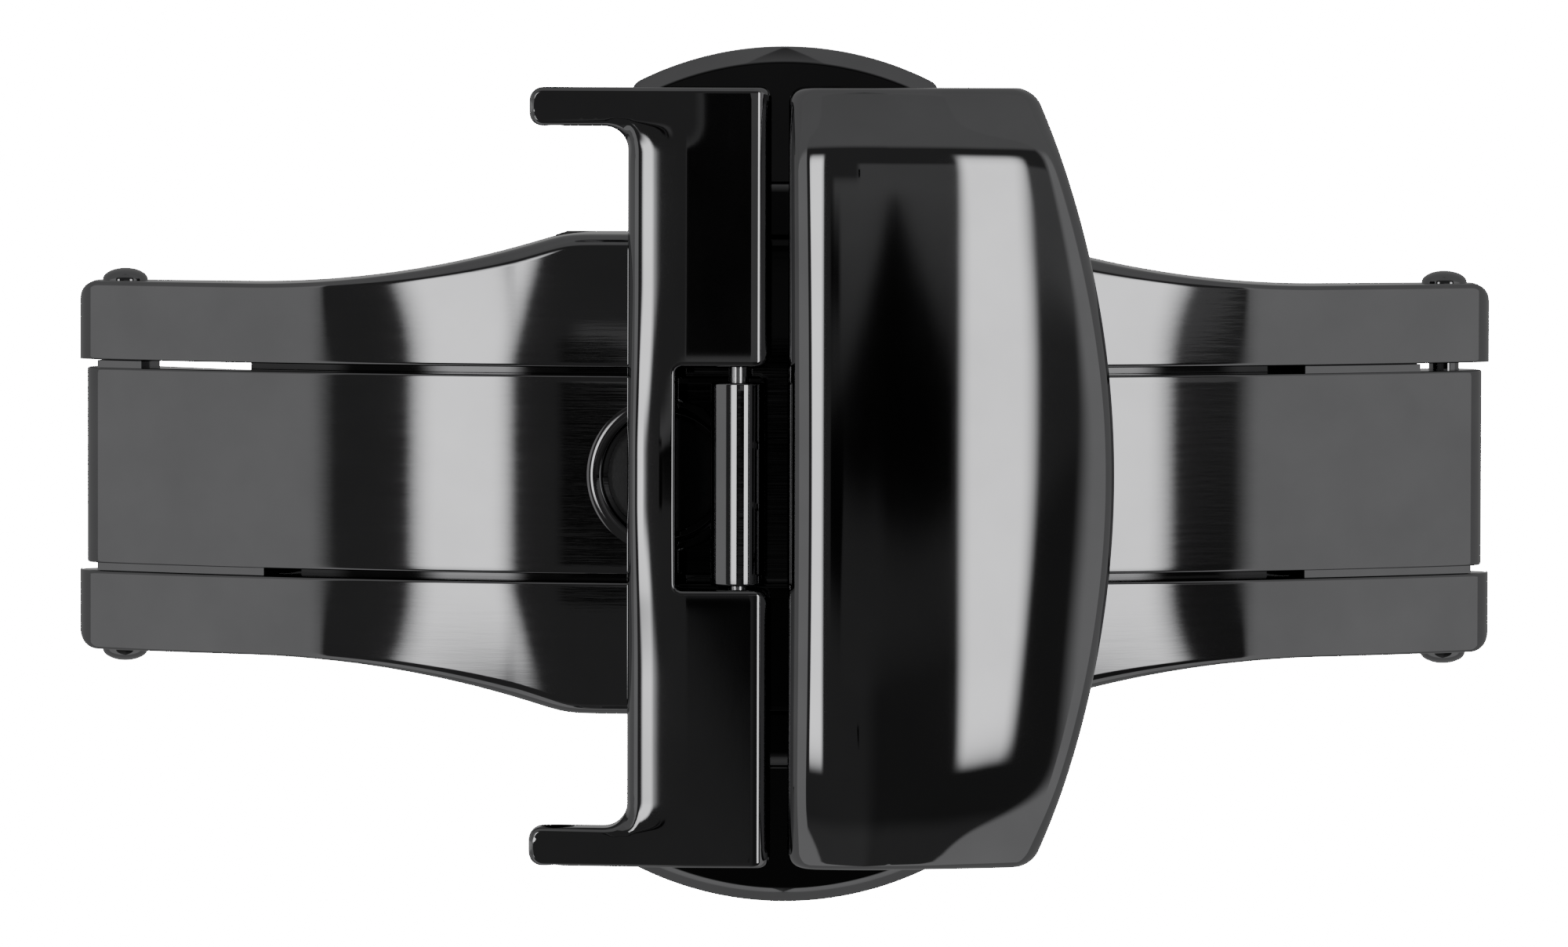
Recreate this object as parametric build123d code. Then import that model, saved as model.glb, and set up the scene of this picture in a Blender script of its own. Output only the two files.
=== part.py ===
from build123d import *
from math import acos, asin, atan2, ceil, cos, degrees, hypot, pi, radians, sin, sqrt
import os

# A butterfly clasp for a watch strap, shown closed. X runs along the strap, Y across it and Z away
# from the wrist. The origin lies under the middle, level with the rounded ends of the rails.
# Left is -X, where two ears take a spring bar. Right is +X, where a cover goes over the loose end
# of the strap. Rear is +Y and front is -Y, and each has a push button. All lengths are millimetres.

# Driving dimensions
strap_width = 18.0            # strap end that fits between the ears and under the cover
frame_length = 37.2           # over the rounded ends of the rails
arch_radius = 32.0            # outer face of rails and arms
middle_thickness = 4.35       # frame in the middle, from its arch to its wrist side
rail_end_thickness = 2.0      # rails at their rounded ends
body_length = 11.4            # broad middle of the frame, which holds the lock
body_width = 12.46
arm_width = 5.16
arm_thickness = 1.0
rail_width = 2.08
button_span = 22.2            # over the ends of both push buttons
button_travel = 1.15
cover_room = 0.8              # over the loop of the tongue, under the roof of the cover

# Clearances
overrun = 1.0                 # how far every cutting tool passes the face that it cuts
turning_gap = 0.02            # radial, a pin in a hole that turns on it
fixed_gap = 0.005             # radial, a pin in a hole that holds it
arm_side_gap = 0.2            # between an arm and the rails beside it
bed_gap = 0.15                # under an arm when it is shut
slide_gap = 0.05              # above and below the slides of the buttons
stop_gap = 0.15               # between a pressed button and what would stop it
strap_side_gap = 0.05         # beside the strap, between ears or under the cover

# Shared places, worked out from the sizes above
end_round = rail_end_thickness / 2
end_x = frame_length / 2 - end_round
arch_z = end_round - sqrt((arch_radius - end_round) ** 2 - end_x ** 2)
arch_top = arch_z + arch_radius
wrist_top = arch_top - middle_thickness
wrist_radius = (end_x ** 2 + wrist_top ** 2) / (2 * wrist_top) - end_round
wrist_z = wrist_top - wrist_radius
arm_half = arm_width / 2
bed_half = arm_half + arm_side_gap
rail_half = bed_half + rail_width
body_half = body_width / 2
body_x = body_length / 2
eye_radius = 1.0              # rolled end of an arm, round the hinge pin
hinge_setback = 1.2           # hinge pin from the end of the rails
hinge_x = frame_length / 2 - hinge_setback
hinge_z = arch_z + sqrt((arch_radius - eye_radius) ** 2 - hinge_x ** 2)

# Lock housing in the body, from the bed of the arms down to the back plate
roof_thickness = 0.84
back_plate_thickness = 0.65
pocket_wall_x = 0.85
pocket_wall_y = 0.7
bed_radius = arch_radius - arm_thickness - bed_gap
pocket_top = arch_z + bed_radius - roof_thickness
pocket_x = body_x - pocket_wall_x
pocket_y = body_half - pocket_wall_y
slide_low = wrist_top + back_plate_thickness + slide_gap
slide_high = pocket_top - slide_gap
slide_mid = (slide_low + slide_high) / 2

# Catch studs, which hang from the arms into the slides
stud_inset = 1.75             # from the end wall of the housing
stud_x = pocket_x - stud_inset
stud_neck_radius = 0.5
stud_foot_radius = 0.9
stud_foot_thickness = 0.5
stud_lead = 0.2               # cone under the foot, which pushes the slide aside
stud_sweep = 0.6              # how far the foot swings towards its hinge as it leaves
lip_thickness = 0.5           # lips of the slide that hold the foot
foot_top = slide_high - lip_thickness - slide_gap

# Springs of the buttons and the posts that they push against
coil_radius = 0.49
coil_wire_radius = 0.11
coil_turns = 4.25
coil_chords = 7               # chords for each turn
coil_sides = 4
spring_x = 2.4
spring_side_gap = 0.1
slide_tip = 1.5               # a slide's end past the middle
post_gap = 0.1
post_thickness = 0.3
post_width = 1.0
post_y = slide_tip + button_travel + post_gap
spring_foot_y = post_y + post_thickness
spring_seat_inset = 0.1
spring_seat_y = body_half - spring_seat_inset

# Knuckles at the inner ends of the arms
knuckle_x = 1.2
bracket_knuckle_radius = 0.85
bracket_rise = 0.11           # underside of the bracket above the frame
knuckle_z = arch_top + bracket_rise + bracket_knuckle_radius
plate_wall = 1.0              # ears of the bracket, side walls of the cover
inner_half = strap_width / 2 + strap_side_gap
outer_half = inner_half + plate_wall
tongue_loop_radius = 0.85
cover_roof = 0.9
cover_height = knuckle_z + tongue_loop_radius + cover_room + cover_roof


def along_y(face, low, high):
    """Sweeps a face drawn in X and Z from Y low to Y high."""
    return Pos(0, high, 0) * extrude(Plane.XZ * face, high - low)


def along_z(face, low, high):
    """Sweeps a face drawn in X and Y from Z low to Z high."""
    return Pos(0, 0, low) * extrude(face, high - low)


def block(x_low, x_high, y_low, y_high, z_low, z_high):
    """A box between two corners."""
    middle = Pos((x_low + x_high) / 2, (y_low + y_high) / 2, (z_low + z_high) / 2)
    return middle * Box(x_high - x_low, y_high - y_low, z_high - z_low)


def bar(x, z, radius, y_low, y_high):
    """A round bar along Y."""
    return Pos(x, (y_low + y_high) / 2, z) * Rot(90, 0, 0) * Cylinder(radius, y_high - y_low)


def rectangle(x_low, x_high, y_low, y_high):
    """A flat rectangle between two corners."""
    middle = Pos((x_low + x_high) / 2, (y_low + y_high) / 2)
    return middle * Rectangle(x_high - x_low, y_high - y_low)


def disc(x, y, radius):
    """A flat disc."""
    return Pos(x, y) * Circle(radius)


def toward(centre, radius, angle):
    """The point of a circle at an angle, in radians from the first axis."""
    return (centre[0] + radius * cos(angle), centre[1] + radius * sin(angle))


def link(centre_a, radius_a, centre_b, radius_b):
    """Two discs joined by their outer tangents, like a chain link that tapers."""
    run = (centre_b[0] - centre_a[0], centre_b[1] - centre_a[1])
    lean = acos((radius_a - radius_b) / hypot(*run))
    heading = atan2(run[1], run[0])
    corners = [
        toward(centre_a, radius_a, heading + lean),
        toward(centre_b, radius_b, heading + lean),
        toward(centre_b, radius_b, heading - lean),
        toward(centre_a, radius_a, heading - lean),
    ]
    web = make_face(Polyline(*corners, close=True))
    return web + disc(*centre_a, radius_a) + disc(*centre_b, radius_b)


def rounded(sketch, points, radius):
    """The sketch with a round at each of its corners that lies nearest to the points."""
    corners = [min(sketch.vertices(), key=lambda v: hypot(v.X - x, v.Y - y)) for x, y in points]
    return fillet(corners, radius)


def arch_height(x, radius=arch_radius):
    """Height of a circle about the arch's centre."""
    return arch_z + sqrt(radius ** 2 - x ** 2)


def arch_ring(inner, outer):
    """The ring between two circles about the arch's centre, in X and Z."""
    return Pos(0, arch_z) * (Circle(outer) - Circle(inner))


def coil(x, z, y_start, y_end, radius, wire, turns):
    """An open coil along Y: a wire of few sides along short chords, because it is hidden."""
    way = 1 if y_end > y_start else -1
    start, end = y_start + way * wire, y_end - way * wire
    steps = ceil(turns * coil_chords)
    points = []
    for step in range(steps + 1):
        angle = 2 * pi * turns * step / steps
        y = start + (end - start) * step / steps
        points.append((x + radius * cos(angle), y, z + radius * sin(angle)))
    path = Polyline(*points)
    section = Plane(origin=path @ 0, z_dir=path % 0) * RegularPolygon(wire, coil_sides)
    print("least gap of a coil to itself:", round(abs(end - start) / turns - 2 * wire, 3))
    return sweep(section, path=path, transition=Transition.RIGHT)


# Frame with its two forks, the bed of the arms and the lock housing
flare_length = 8.3            # from the broad middle to the straight rails
fork_length = 4.6             # open slot at each end, in which an arm's eye turns
plan_corner = 0.5
hinge_pin_radius = 0.4
button_neck_width = 7.0
neck_gap = 0.1
window_gap = 0.1
screw_y = 4.6
screw_x = (body_x + pocket_x) / 2
screw_radius = 0.25
screw_depth = 1.9
plate_overlap = 0.3
plate_gap = 0.03
plate_x = body_x + plate_overlap


def frame_side():
    """Side view of the frame: a bowed bar with fully rounded ends."""
    out = atan2(end_round - arch_z, end_x)
    back = atan2(end_round - wrist_z, end_x) + pi
    top = toward((end_x, end_round), end_round, out)
    low = toward((end_x, end_round), end_round, back)
    right = ThreePointArc(top, (end_x + end_round, end_round), low)
    left = ThreePointArc((-low[0], low[1]), (-end_x - end_round, end_round), (-top[0], top[1]))
    crown = ThreePointArc((-top[0], top[1]), (0, arch_top), top)
    hollow = ThreePointArc(low, (0, wrist_top), (-low[0], low[1]))
    return make_face([crown, right, hollow, left])


def frame_plan():
    """Plan of the frame: straight rails that flare out to the broad body."""
    rise = body_half - rail_half
    flare_radius = (flare_length ** 2 + rise ** 2) / (2 * rise)
    rail_x = body_x + flare_length
    half_turn = asin(flare_length / flare_radius) / 2
    middle = (rail_x - flare_radius * sin(half_turn), rail_half + flare_radius * (1 - cos(half_turn)))
    far = frame_length / 2
    edges = []
    for x, y in ((1, 1), (1, -1), (-1, -1), (-1, 1)):
        edges.append(Line((0, y * body_half), (x * body_x, y * body_half)))
        edges.append(ThreePointArc((x * body_x, y * body_half), (x * middle[0], y * middle[1]),
                                   (x * rail_x, y * rail_half)))
        edges.append(Line((x * rail_x, y * rail_half), (x * far, y * rail_half)))
        edges.append(Line((x * far, y * rail_half), (x * far, 0)))
    outline = make_face(edges)
    corners = [(x * far, y * rail_half) for x in (-1, 1) for y in (-1, 1)]
    return rounded(outline, corners, plan_corner)


def base_frame():
    """One bowed piece: rails, forks, arm bed and the housing of the lock."""
    plan = along_z(frame_plan(), -overrun, arch_top + overrun)
    frame = along_y(frame_side(), -body_half, body_half) & plan
    frame -= along_y(arch_ring(bed_radius, arch_radius + overrun), -bed_half, bed_half)
    far = frame_length / 2
    for side in (-1, 1):
        inner, outer = sorted((side * (far - fork_length), side * (far + overrun)))
        frame -= block(inner, outer, -bed_half, bed_half, -overrun, arch_top)
        frame -= bar(side * hinge_x, hinge_z, hinge_pin_radius + fixed_gap, -body_half, body_half)
    frame -= block(-pocket_x, pocket_x, -pocket_y, pocket_y, -overrun, pocket_top)
    window_x = button_neck_width / 2 + window_gap
    reach = body_half + overrun
    frame -= block(-window_x, window_x, -reach, reach, -overrun, pocket_top)
    rebate = disc(0, wrist_z, wrist_radius + back_plate_thickness)
    rebate &= rectangle(-plate_x - plate_gap, plate_x + plate_gap, -overrun, arch_top)
    frame -= along_y(rebate, -reach, reach)
    for side in (-1, 1):
        hole = SlotCenterToCenter(stud_sweep, 2 * (stud_foot_radius + neck_gap))
        hole = Pos(side * (stud_x + stud_sweep / 2), 0) * hole
        frame -= along_z(hole, slide_high, arch_top)
        for end in (-1, 1):
            place = Pos(side * screw_x, end * screw_y, wrist_top)
            frame -= place * Cylinder(screw_radius + fixed_gap, 2 * screw_depth)
            low, high = sorted((end * post_y, end * spring_foot_y))
            post_x = side * spring_x
            frame += block(post_x - post_width / 2, post_x + post_width / 2, low, high,
                           slide_low, pocket_top + slide_gap)
    return frame


pin_head_radius = 0.62
pin_head_height = 0.33
pin_head_chamfer = 0.22


def hinge_pin(side):
    """A riveted pin through the fork and the arm's eye, with a chamfered head at each end."""
    tip = rail_half + pin_head_height
    outline = [
        (0, 0),
        (hinge_pin_radius, 0),
        (hinge_pin_radius, rail_half),
        (pin_head_radius, rail_half),
        (pin_head_radius - pin_head_chamfer, tip),
        (0, tip),
    ]
    turned = revolve(make_face(Polyline(*outline, close=True)), Axis.Y, 360)
    return Pos(side * hinge_x, 0, hinge_z) * (turned + mirror(turned, Plane.XZ))


# Back plate and its screws, on the wrist side
screw_head_radius = 0.55
screw_slot_width = 0.16
screw_slot_depth = 0.14
screw_head_inset = 0.03
screw_face = wrist_z + sqrt(wrist_radius ** 2 - screw_x ** 2) + screw_head_inset
screw_head_height = back_plate_thickness + screw_head_inset
screw_head_slope = (screw_head_radius - screw_radius) / screw_head_height


def back_plate():
    """Curved plate that shuts the lock housing."""
    ring = disc(0, wrist_z, wrist_radius + back_plate_thickness) - disc(0, wrist_z, wrist_radius)
    strip = ring & rectangle(-plate_x, plate_x, 0, arch_top)
    plate = along_y(strip, -body_half, body_half) & along_z(frame_plan(), -overrun, arch_top)
    for x in (-screw_x, screw_x):
        for y in (-screw_y, screw_y):
            broad = screw_head_radius + screw_head_slope * overrun + fixed_gap
            recess = Cone(broad, screw_radius + fixed_gap, screw_head_height + overrun)
            plate -= Pos(x, y, screw_face + (screw_head_height - overrun) / 2) * recess
    return plate


def back_plate_screw(x, y):
    """A small slotted screw with a countersunk head, driven from the wrist side."""
    low, shoulder = screw_face, screw_face + screw_head_height
    high = wrist_top + screw_depth - slide_gap
    screw = Pos(x, y, (low + shoulder) / 2) * Cone(screw_head_radius, screw_radius, screw_head_height)
    screw += Pos(x, y, (shoulder + high) / 2) * Cylinder(screw_radius, high - shoulder)
    slot = block(x - screw_head_radius, x + screw_head_radius, y - screw_slot_width / 2,
                 y + screw_slot_width / 2, low - overrun, low + screw_slot_depth)
    return screw - slot


# Arms, each a curved blade with a rolled eye at its hinge and a knuckle at its inner end
eye_taper_gap = 0.4           # thick root of the eye from the inner end of the fork
knuckle_setback = 0.6         # inner end of the blade from the middle
barrel_radius = 0.7           # left knuckle
bar_knuckle_radius = 0.8      # right knuckles, round the spring bar
web_radius = 0.4              # half the web of a knuckle where it meets the blade
bracket_pin_radius = 0.25
bar_tube_radius = 0.5
tongue_half = 0.7
tongue_gap = 0.15
dish_radius = 2.05            # soft ring pressed into the blade round the stud
dish_floor_radius = 1.7
dish_depth = 0.15
stud_head_radius = 1.5
stud_head_thickness = 0.25
stud_shank_radius = 0.8
stud_seat_depth = 0.74        # seat of the stud's head under the blade's face
stud_face_z = arch_height(stud_x)
stud_seat_z = stud_face_z - stud_seat_depth


def stud_dish(side):
    """The cut over a catch stud: a dished ring and the step down to the stud's head."""
    lean = degrees(asin(stud_x / arch_radius))
    face = Pos(side * stud_x, 0, stud_face_z) * Rot(0, side * lean, 0)
    dish = Cone(dish_floor_radius, 2 * dish_radius - dish_floor_radius, 2 * dish_depth)
    step = stud_head_radius + fixed_gap
    return (face * dish) + Pos(side * stud_x, 0, stud_seat_z + overrun / 2) * Cylinder(step, overrun)


def stud_room(side):
    """The cut for the head and the shank of a catch stud, through blade and knuckle alike."""
    step = stud_head_radius + fixed_gap
    head = Pos(side * stud_x, 0, stud_seat_z + stud_head_thickness / 2)
    hole = Pos(side * stud_x, 0, stud_seat_z) * Cylinder(stud_shank_radius + fixed_gap, 2 * overrun)
    return head * Cylinder(step, stud_head_thickness) + hole


def arm_blade(side):
    """The curved blade, which thickens into the eye of its hinge, before the knuckle is added."""
    eye = (hinge_x, hinge_z)
    under = arch_radius - arm_thickness
    root_x = frame_length / 2 - fork_length + eye_taper_gap
    root = (root_x, arch_height(root_x, under))
    out = atan2(hinge_z - arch_z, hinge_x)
    back = atan2(root[1] - hinge_z, root[0] - hinge_x)
    back += acos(eye_radius / hypot(root[0] - hinge_x, root[1] - hinge_z))
    top, low = toward(eye, eye_radius, out), toward(eye, eye_radius, back)
    tip_top = (knuckle_setback, arch_height(knuckle_setback))
    tip_low = (knuckle_setback, arch_height(knuckle_setback, under))
    middle_x = (knuckle_setback + root_x) / 2
    arcs = (
        (tip_top, (middle_x, arch_height(middle_x)), top),
        (top, toward(eye, eye_radius, (out + back) / 2 - pi), low),
        (root, (middle_x, arch_height(middle_x, under)), tip_low),
    )
    edges = [ThreePointArc(*[(side * x, z) for x, z in arc]) for arc in arcs]
    for start, end in ((low, root), (tip_low, tip_top)):
        edges.append(Line((side * start[0], start[1]), (side * end[0], end[1])))
    return along_y(make_face(edges), -arm_half, arm_half) - stud_dish(side)


def knuckle_face(side, radius):
    """Knuckle and the web that carries it above the blade."""
    middle = arch_radius - arm_thickness / 2
    return link((side * knuckle_x, knuckle_z), radius,
                (side * knuckle_x, arch_height(knuckle_x, middle)), web_radius)


def left_arm():
    """Arm with one broad knuckle, on which the strap bracket hinges."""
    arm = arm_blade(-1) + along_y(knuckle_face(-1, barrel_radius), -arm_half, arm_half)
    arm -= stud_room(-1)
    arm -= bar(-knuckle_x, knuckle_z, bracket_pin_radius + turning_gap, -body_half, body_half)
    return arm - bar(-hinge_x, hinge_z, hinge_pin_radius + turning_gap, -body_half, body_half)


def right_arm():
    """Arm with two knuckles, which hold the spring bar with the tongue between them."""
    arm = arm_blade(1)
    face = knuckle_face(1, bar_knuckle_radius)
    inner = tongue_half + tongue_gap
    arm += along_y(face, inner, arm_half) + along_y(face, -arm_half, -inner)
    arm -= stud_room(1)
    arm -= bar(knuckle_x, knuckle_z, bar_tube_radius + turning_gap, -body_half, body_half)
    return arm - bar(hinge_x, hinge_z, hinge_pin_radius + turning_gap, -body_half, body_half)


def catch_stud(side):
    """A mushroom stud riveted into the blade, whose foot the slide holds."""
    under = arch_height(stud_x, arch_radius - arm_thickness)
    foot_low = foot_top - stud_foot_thickness
    outline = [
        (0, stud_seat_z + stud_head_thickness),
        (stud_head_radius, stud_seat_z + stud_head_thickness),
        (stud_head_radius, stud_seat_z),
        (stud_shank_radius, stud_seat_z),
        (stud_shank_radius, under),
        (stud_neck_radius, under),
        (stud_neck_radius, foot_top),
        (stud_foot_radius, foot_top),
        (stud_foot_radius, foot_low),
        (stud_foot_radius - stud_lead, foot_low - stud_lead),
        (0, foot_low - stud_lead),
    ]
    half = Plane.XZ * make_face(Polyline(*outline, close=True))
    return Pos(side * stud_x, 0, 0) * revolve(half, Axis.Z, 360)


# Push buttons, each one piece with the slide that locks an arm
button_width = 7.9
button_inset = 0.32           # pad from the upper and the lower face of the frame
button_end_radius = 7.8
button_bevel = 0.45
slide_side_gap = 0.1
slide_middle_gap = 0.15
lip_slot_gap = 0.1
foot_side_gap = 0.15
foot_swing = 0.3


def button_head():
    """The finger pad: straight sides, an arched end and bevelled upper and lower edges."""
    half = button_width / 2
    inner = body_half + button_travel + stop_gap
    outer = button_span / 2
    corner = outer - button_end_radius + sqrt(button_end_radius ** 2 - half ** 2)
    edges = [
        Polyline((-half, corner), (-half, inner), (half, inner), (half, corner)),
        ThreePointArc((half, corner), (0, outer), (-half, corner)),
    ]
    head = along_z(make_face(edges), wrist_top + button_inset, arch_top - button_inset)
    rims = head.edges().filter_by(GeomType.CIRCLE)
    return chamfer(rims, button_bevel)


def keyhole():
    """The cut in a slide: a narrow slot that holds the stud's foot and a wide one that frees it."""
    wide = stud_foot_radius + foot_side_gap
    narrow = stud_neck_radius + lip_slot_gap
    free = disc(-stud_x, button_travel, wide) + disc(-stud_x - foot_swing, button_travel, wide)
    free += rectangle(-stud_x - foot_swing, -stud_x, button_travel - wide, button_travel + wide)
    hold = disc(-stud_x, 0, narrow)
    hold += rectangle(-stud_x - narrow, -stud_x + narrow, 0, button_travel)
    under = disc(-stud_x, 0, wide) + rectangle(-stud_x - wide, -stud_x + wide, 0, button_travel)
    cut = along_z(free + hold, slide_low - overrun, slide_high + overrun)
    return cut + along_z(under + free, slide_low - overrun, slide_high - lip_thickness)


def rear_button():
    """Button with its slide under the left arm's stud."""
    button = button_head()
    inner = body_half + button_travel + stop_gap
    neck = button_neck_width / 2
    neck_inner = spring_foot_y + button_travel
    button += block(-neck, neck, neck_inner, inner, slide_low, slide_high)
    button += block(-pocket_x + slide_side_gap, -slide_middle_gap, -slide_tip,
                    pocket_y - slide_side_gap, slide_low, slide_high)
    button -= keyhole()
    room = coil_radius + coil_wire_radius + spring_side_gap
    for x, low in ((-spring_x, post_y - stop_gap), (spring_x, neck_inner - overrun)):
        button -= block(x - room, x + room, low, spring_seat_y, slide_low - overrun,
                        slide_high + overrun)
    return button


def button_spring(x, end):
    """Return spring between a post of the frame and a button."""
    return coil(x, slide_mid, end * spring_foot_y, end * spring_seat_y, coil_radius,
                coil_wire_radius, coil_turns)


# Bracket that takes the fixed end of the strap
bracket_edge = 4.05           # left edge of the plate from the middle
bracket_crown_radius = 3.4    # broad roll of the upper face towards the left edge
bracket_crown_angle = 18      # degrees that the broad roll turns
bracket_edge_radius = 0.5     # tight roll that ends it
bracket_foot_radius = 0.3
bracket_mouth_radius = 0.6    # upper right edge, beside the cover
bracket_height = 1.7
bracket_low = knuckle_z - bracket_knuckle_radius
ear_length = 6.6              # tip of the ears from the middle
ear_tip_radius = 0.75
ear_tip_round = 0.35
ear_root_round = 0.6
ear_root_inset = 1.4          # where the ears start to slope, inside the plate
ear_drop = 0.35               # tip of the ears below the plate
bar_hole_radius = 0.45
notch_half = 2.87
notch_depth = 2.45
notch_mouth_round = 0.4
notch_round = 0.15
bracket_corner = 0.3
bracket_pin_half = 3.9
bracket_right = knuckle_x - bracket_knuckle_radius
ear_hole_x = ear_length - ear_tip_radius
ear_hole_z = bracket_low + ear_tip_radius - ear_drop


def bracket_plan():
    """Plan of the bracket: a cross plate with two ears and the notch of the knuckle."""
    plate = rectangle(-bracket_edge, -bracket_right, -outer_half, outer_half)
    for low, high in ((inner_half, outer_half), (-outer_half, -inner_half)):
        plate += rectangle(-ear_length, -bracket_edge, low, high)
    notch_x = bracket_right + notch_depth
    plate -= rectangle(-notch_x, 0, -notch_half, notch_half)
    sides = (-1, 1)
    plate = rounded(plate, [(-bracket_right, s * notch_half) for s in sides], notch_mouth_round)
    plate = rounded(plate, [(-notch_x, s * notch_half) for s in sides], notch_round)
    plate = rounded(plate, [(-bracket_edge, s * inner_half) for s in sides], ear_root_round)
    plate = rounded(plate, [(-bracket_right, s * outer_half) for s in sides], bracket_corner)
    tips = [(-ear_length, s * y) for s in sides for y in (inner_half, outer_half)]
    return rounded(plate, tips, ear_tip_round)


def bracket_side():
    """Side view of the plate: flat on top, rolled over to the left, round about the pin."""
    crown = radians(bracket_crown_angle)
    top = bracket_low + bracket_height
    edge_x = -bracket_edge + bracket_edge_radius
    flat_x = edge_x - (bracket_edge_radius - bracket_crown_radius) * sin(crown)
    roll = (flat_x, top - bracket_crown_radius)
    turn = toward(roll, bracket_crown_radius, pi / 2 + crown)
    edge = (edge_x, turn[1] - bracket_edge_radius * cos(crown))
    foot = (-bracket_edge + bracket_foot_radius, bracket_low + bracket_foot_radius)
    mouth = (-bracket_right - bracket_mouth_radius, top - bracket_mouth_radius)
    pin = (-knuckle_x, knuckle_z)
    arcs = (
        (roll, bracket_crown_radius, pi / 2, pi / 2 + crown),
        (edge, bracket_edge_radius, pi / 2 + crown, pi),
        (foot, bracket_foot_radius, pi, 3 * pi / 2),
        (pin, bracket_knuckle_radius, 3 * pi / 2, 2 * pi),
        (mouth, bracket_mouth_radius, 0, pi / 2),
    )
    ends = [(toward(c, r, a), toward(c, r, (a + b) / 2), toward(c, r, b)) for c, r, a, b in arcs]
    edges = [ThreePointArc(*arc) for arc in ends]
    joins = ((1, 2), (2, 3), (3, 4), (4, 0))
    edges += [Line(ends[a][2], ends[b][0]) for a, b in joins]
    return make_face(edges)


def strap_bracket():
    """Cross plate with two ears, hinged on the left arm."""
    side = bracket_side()
    root = (-bracket_edge + ear_root_inset, bracket_low + bracket_height / 2)
    side += link(root, bracket_height / 2, (-ear_hole_x, ear_hole_z), ear_tip_radius)
    plan = along_z(bracket_plan(), bracket_low - overrun, cover_height)
    bracket = along_y(side, -outer_half, outer_half) & plan
    bracket -= bar(-knuckle_x, knuckle_z, bracket_pin_radius + fixed_gap, -bracket_pin_half,
                   bracket_pin_half)
    return bracket - bar(-ear_hole_x, ear_hole_z, bar_hole_radius, -outer_half - overrun,
                         outer_half + overrun)


def bracket_pin():
    """Plain pin of the bracket's hinge."""
    return bar(-knuckle_x, knuckle_z, bracket_pin_radius, -bracket_pin_half, bracket_pin_half)


# Cover over the loose end of the strap, with the spring bar that it turns on
cover_left = 0.1              # left wall from the middle
cover_end_x = 6.4             # right edge at the ends
cover_bulge = 2.1             # how far the right edge swells past its ends
cover_top_radius = 20.3
cover_left_wall = 0.5
cover_left_round = 0.6        # tight roll of the upper left edge
cover_soft_radius = 4.6       # broad roll before it
cover_soft_angle = 20         # degrees that the broad roll leans to at its end
cover_facet = 1.5             # sloping facet at each end
cover_facet_drop = 1.05
cover_left_drop = 0.4         # lower edge of the left wall under the hinge
cover_heel_radius = knuckle_x - cover_left
cover_side_low = knuckle_z - cover_heel_radius
cover_left_low = knuckle_z - cover_left_drop
cover_notch_half = 2.9
cover_notch_rise = 1.0        # top of the left wall's notch above the hinge
cover_corner = 0.3
cover_z = cover_height - cover_top_radius


def cover_plan():
    """Plan of the cover: straight on the left, swollen on the right."""
    bow = ThreePointArc((cover_end_x, -outer_half), (cover_end_x + cover_bulge, 0),
                        (cover_end_x, outer_half))
    rest = Polyline((cover_end_x, outer_half), (cover_left, outer_half),
                    (cover_left, -outer_half), (cover_end_x, -outer_half))
    corners = [(x, y) for x in (cover_left, cover_end_x) for y in (-outer_half, outer_half)]
    return rounded(make_face([bow, rest]), corners, cover_corner)


def cover_barrel(radius, half, facet, drop):
    """A drum along Y, coned at both ends, whose upper side is the top of the cover."""
    points = [(0, -half), (radius - drop, -half), (radius, facet - half), (radius, half - facet),
              (radius - drop, half), (0, half)]
    drum = revolve(make_face(Polyline(*points, close=True)), Axis.Y, 360)
    return Pos(0, 0, cover_z) * drum


def cover_side():
    """Side view: a soft upper left edge and a heel that is round about the hinge."""
    far = cover_end_x + cover_bulge + overrun
    lean = pi / 2 + radians(cover_soft_angle)
    tight_x = cover_left + cover_left_round
    soft_x = tight_x + (cover_soft_radius - cover_left_round) * sin(lean - pi / 2)
    soft_z = cover_z + sqrt((cover_top_radius - cover_soft_radius) ** 2 - soft_x ** 2)
    turn = atan2(soft_z - cover_z, soft_x)
    tight_z = soft_z + (cover_soft_radius - cover_left_round) * sin(lean)
    stop = acos(far / cover_top_radius)
    arcs = (
        ((tight_x, tight_z), cover_left_round, pi, lean),
        ((soft_x, soft_z), cover_soft_radius, lean, turn),
        ((0, cover_z), cover_top_radius, turn, stop),
    )
    ends = [(toward(c, r, a), toward(c, r, (a + b) / 2), toward(c, r, b)) for c, r, a, b in arcs]
    edges = [ThreePointArc(*arc) for arc in ends]
    heel = toward((knuckle_x, knuckle_z), cover_heel_radius, 5 * pi / 4)
    edges.append(ThreePointArc((knuckle_x, cover_side_low), heel, (cover_left, knuckle_z)))
    edges.append(Polyline(ends[2][2], (far, cover_side_low), (knuckle_x, cover_side_low)))
    edges.append(Line((cover_left, knuckle_z), ends[0][0]))
    return make_face(edges)


def strap_cover():
    """Crowned shell with faceted ends, open below and to the right for the strap."""
    cover = along_y(cover_side(), -outer_half, outer_half)
    cover &= along_z(cover_plan(), cover_side_low, cover_height)
    cover &= cover_barrel(cover_top_radius, outer_half, cover_facet, cover_facet_drop)
    inside = cover_barrel(cover_top_radius - cover_roof, inner_half, cover_facet - plate_wall, 0)
    far = cover_end_x + cover_bulge + overrun
    left = cover_left + cover_left_wall
    room = block(left, far, -inner_half, inner_half, cover_side_low - overrun, cover_height)
    cover -= room & inside
    cover -= block(0, left + overrun, -inner_half, inner_half, 0, cover_left_low)
    cover -= block(0, left + overrun, -cover_notch_half, cover_notch_half, 0,
                   knuckle_z + cover_notch_rise)
    return cover - bar(knuckle_x, knuckle_z, bar_tip_radius + turning_gap, -outer_half - overrun,
                       outer_half + overrun)


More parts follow.
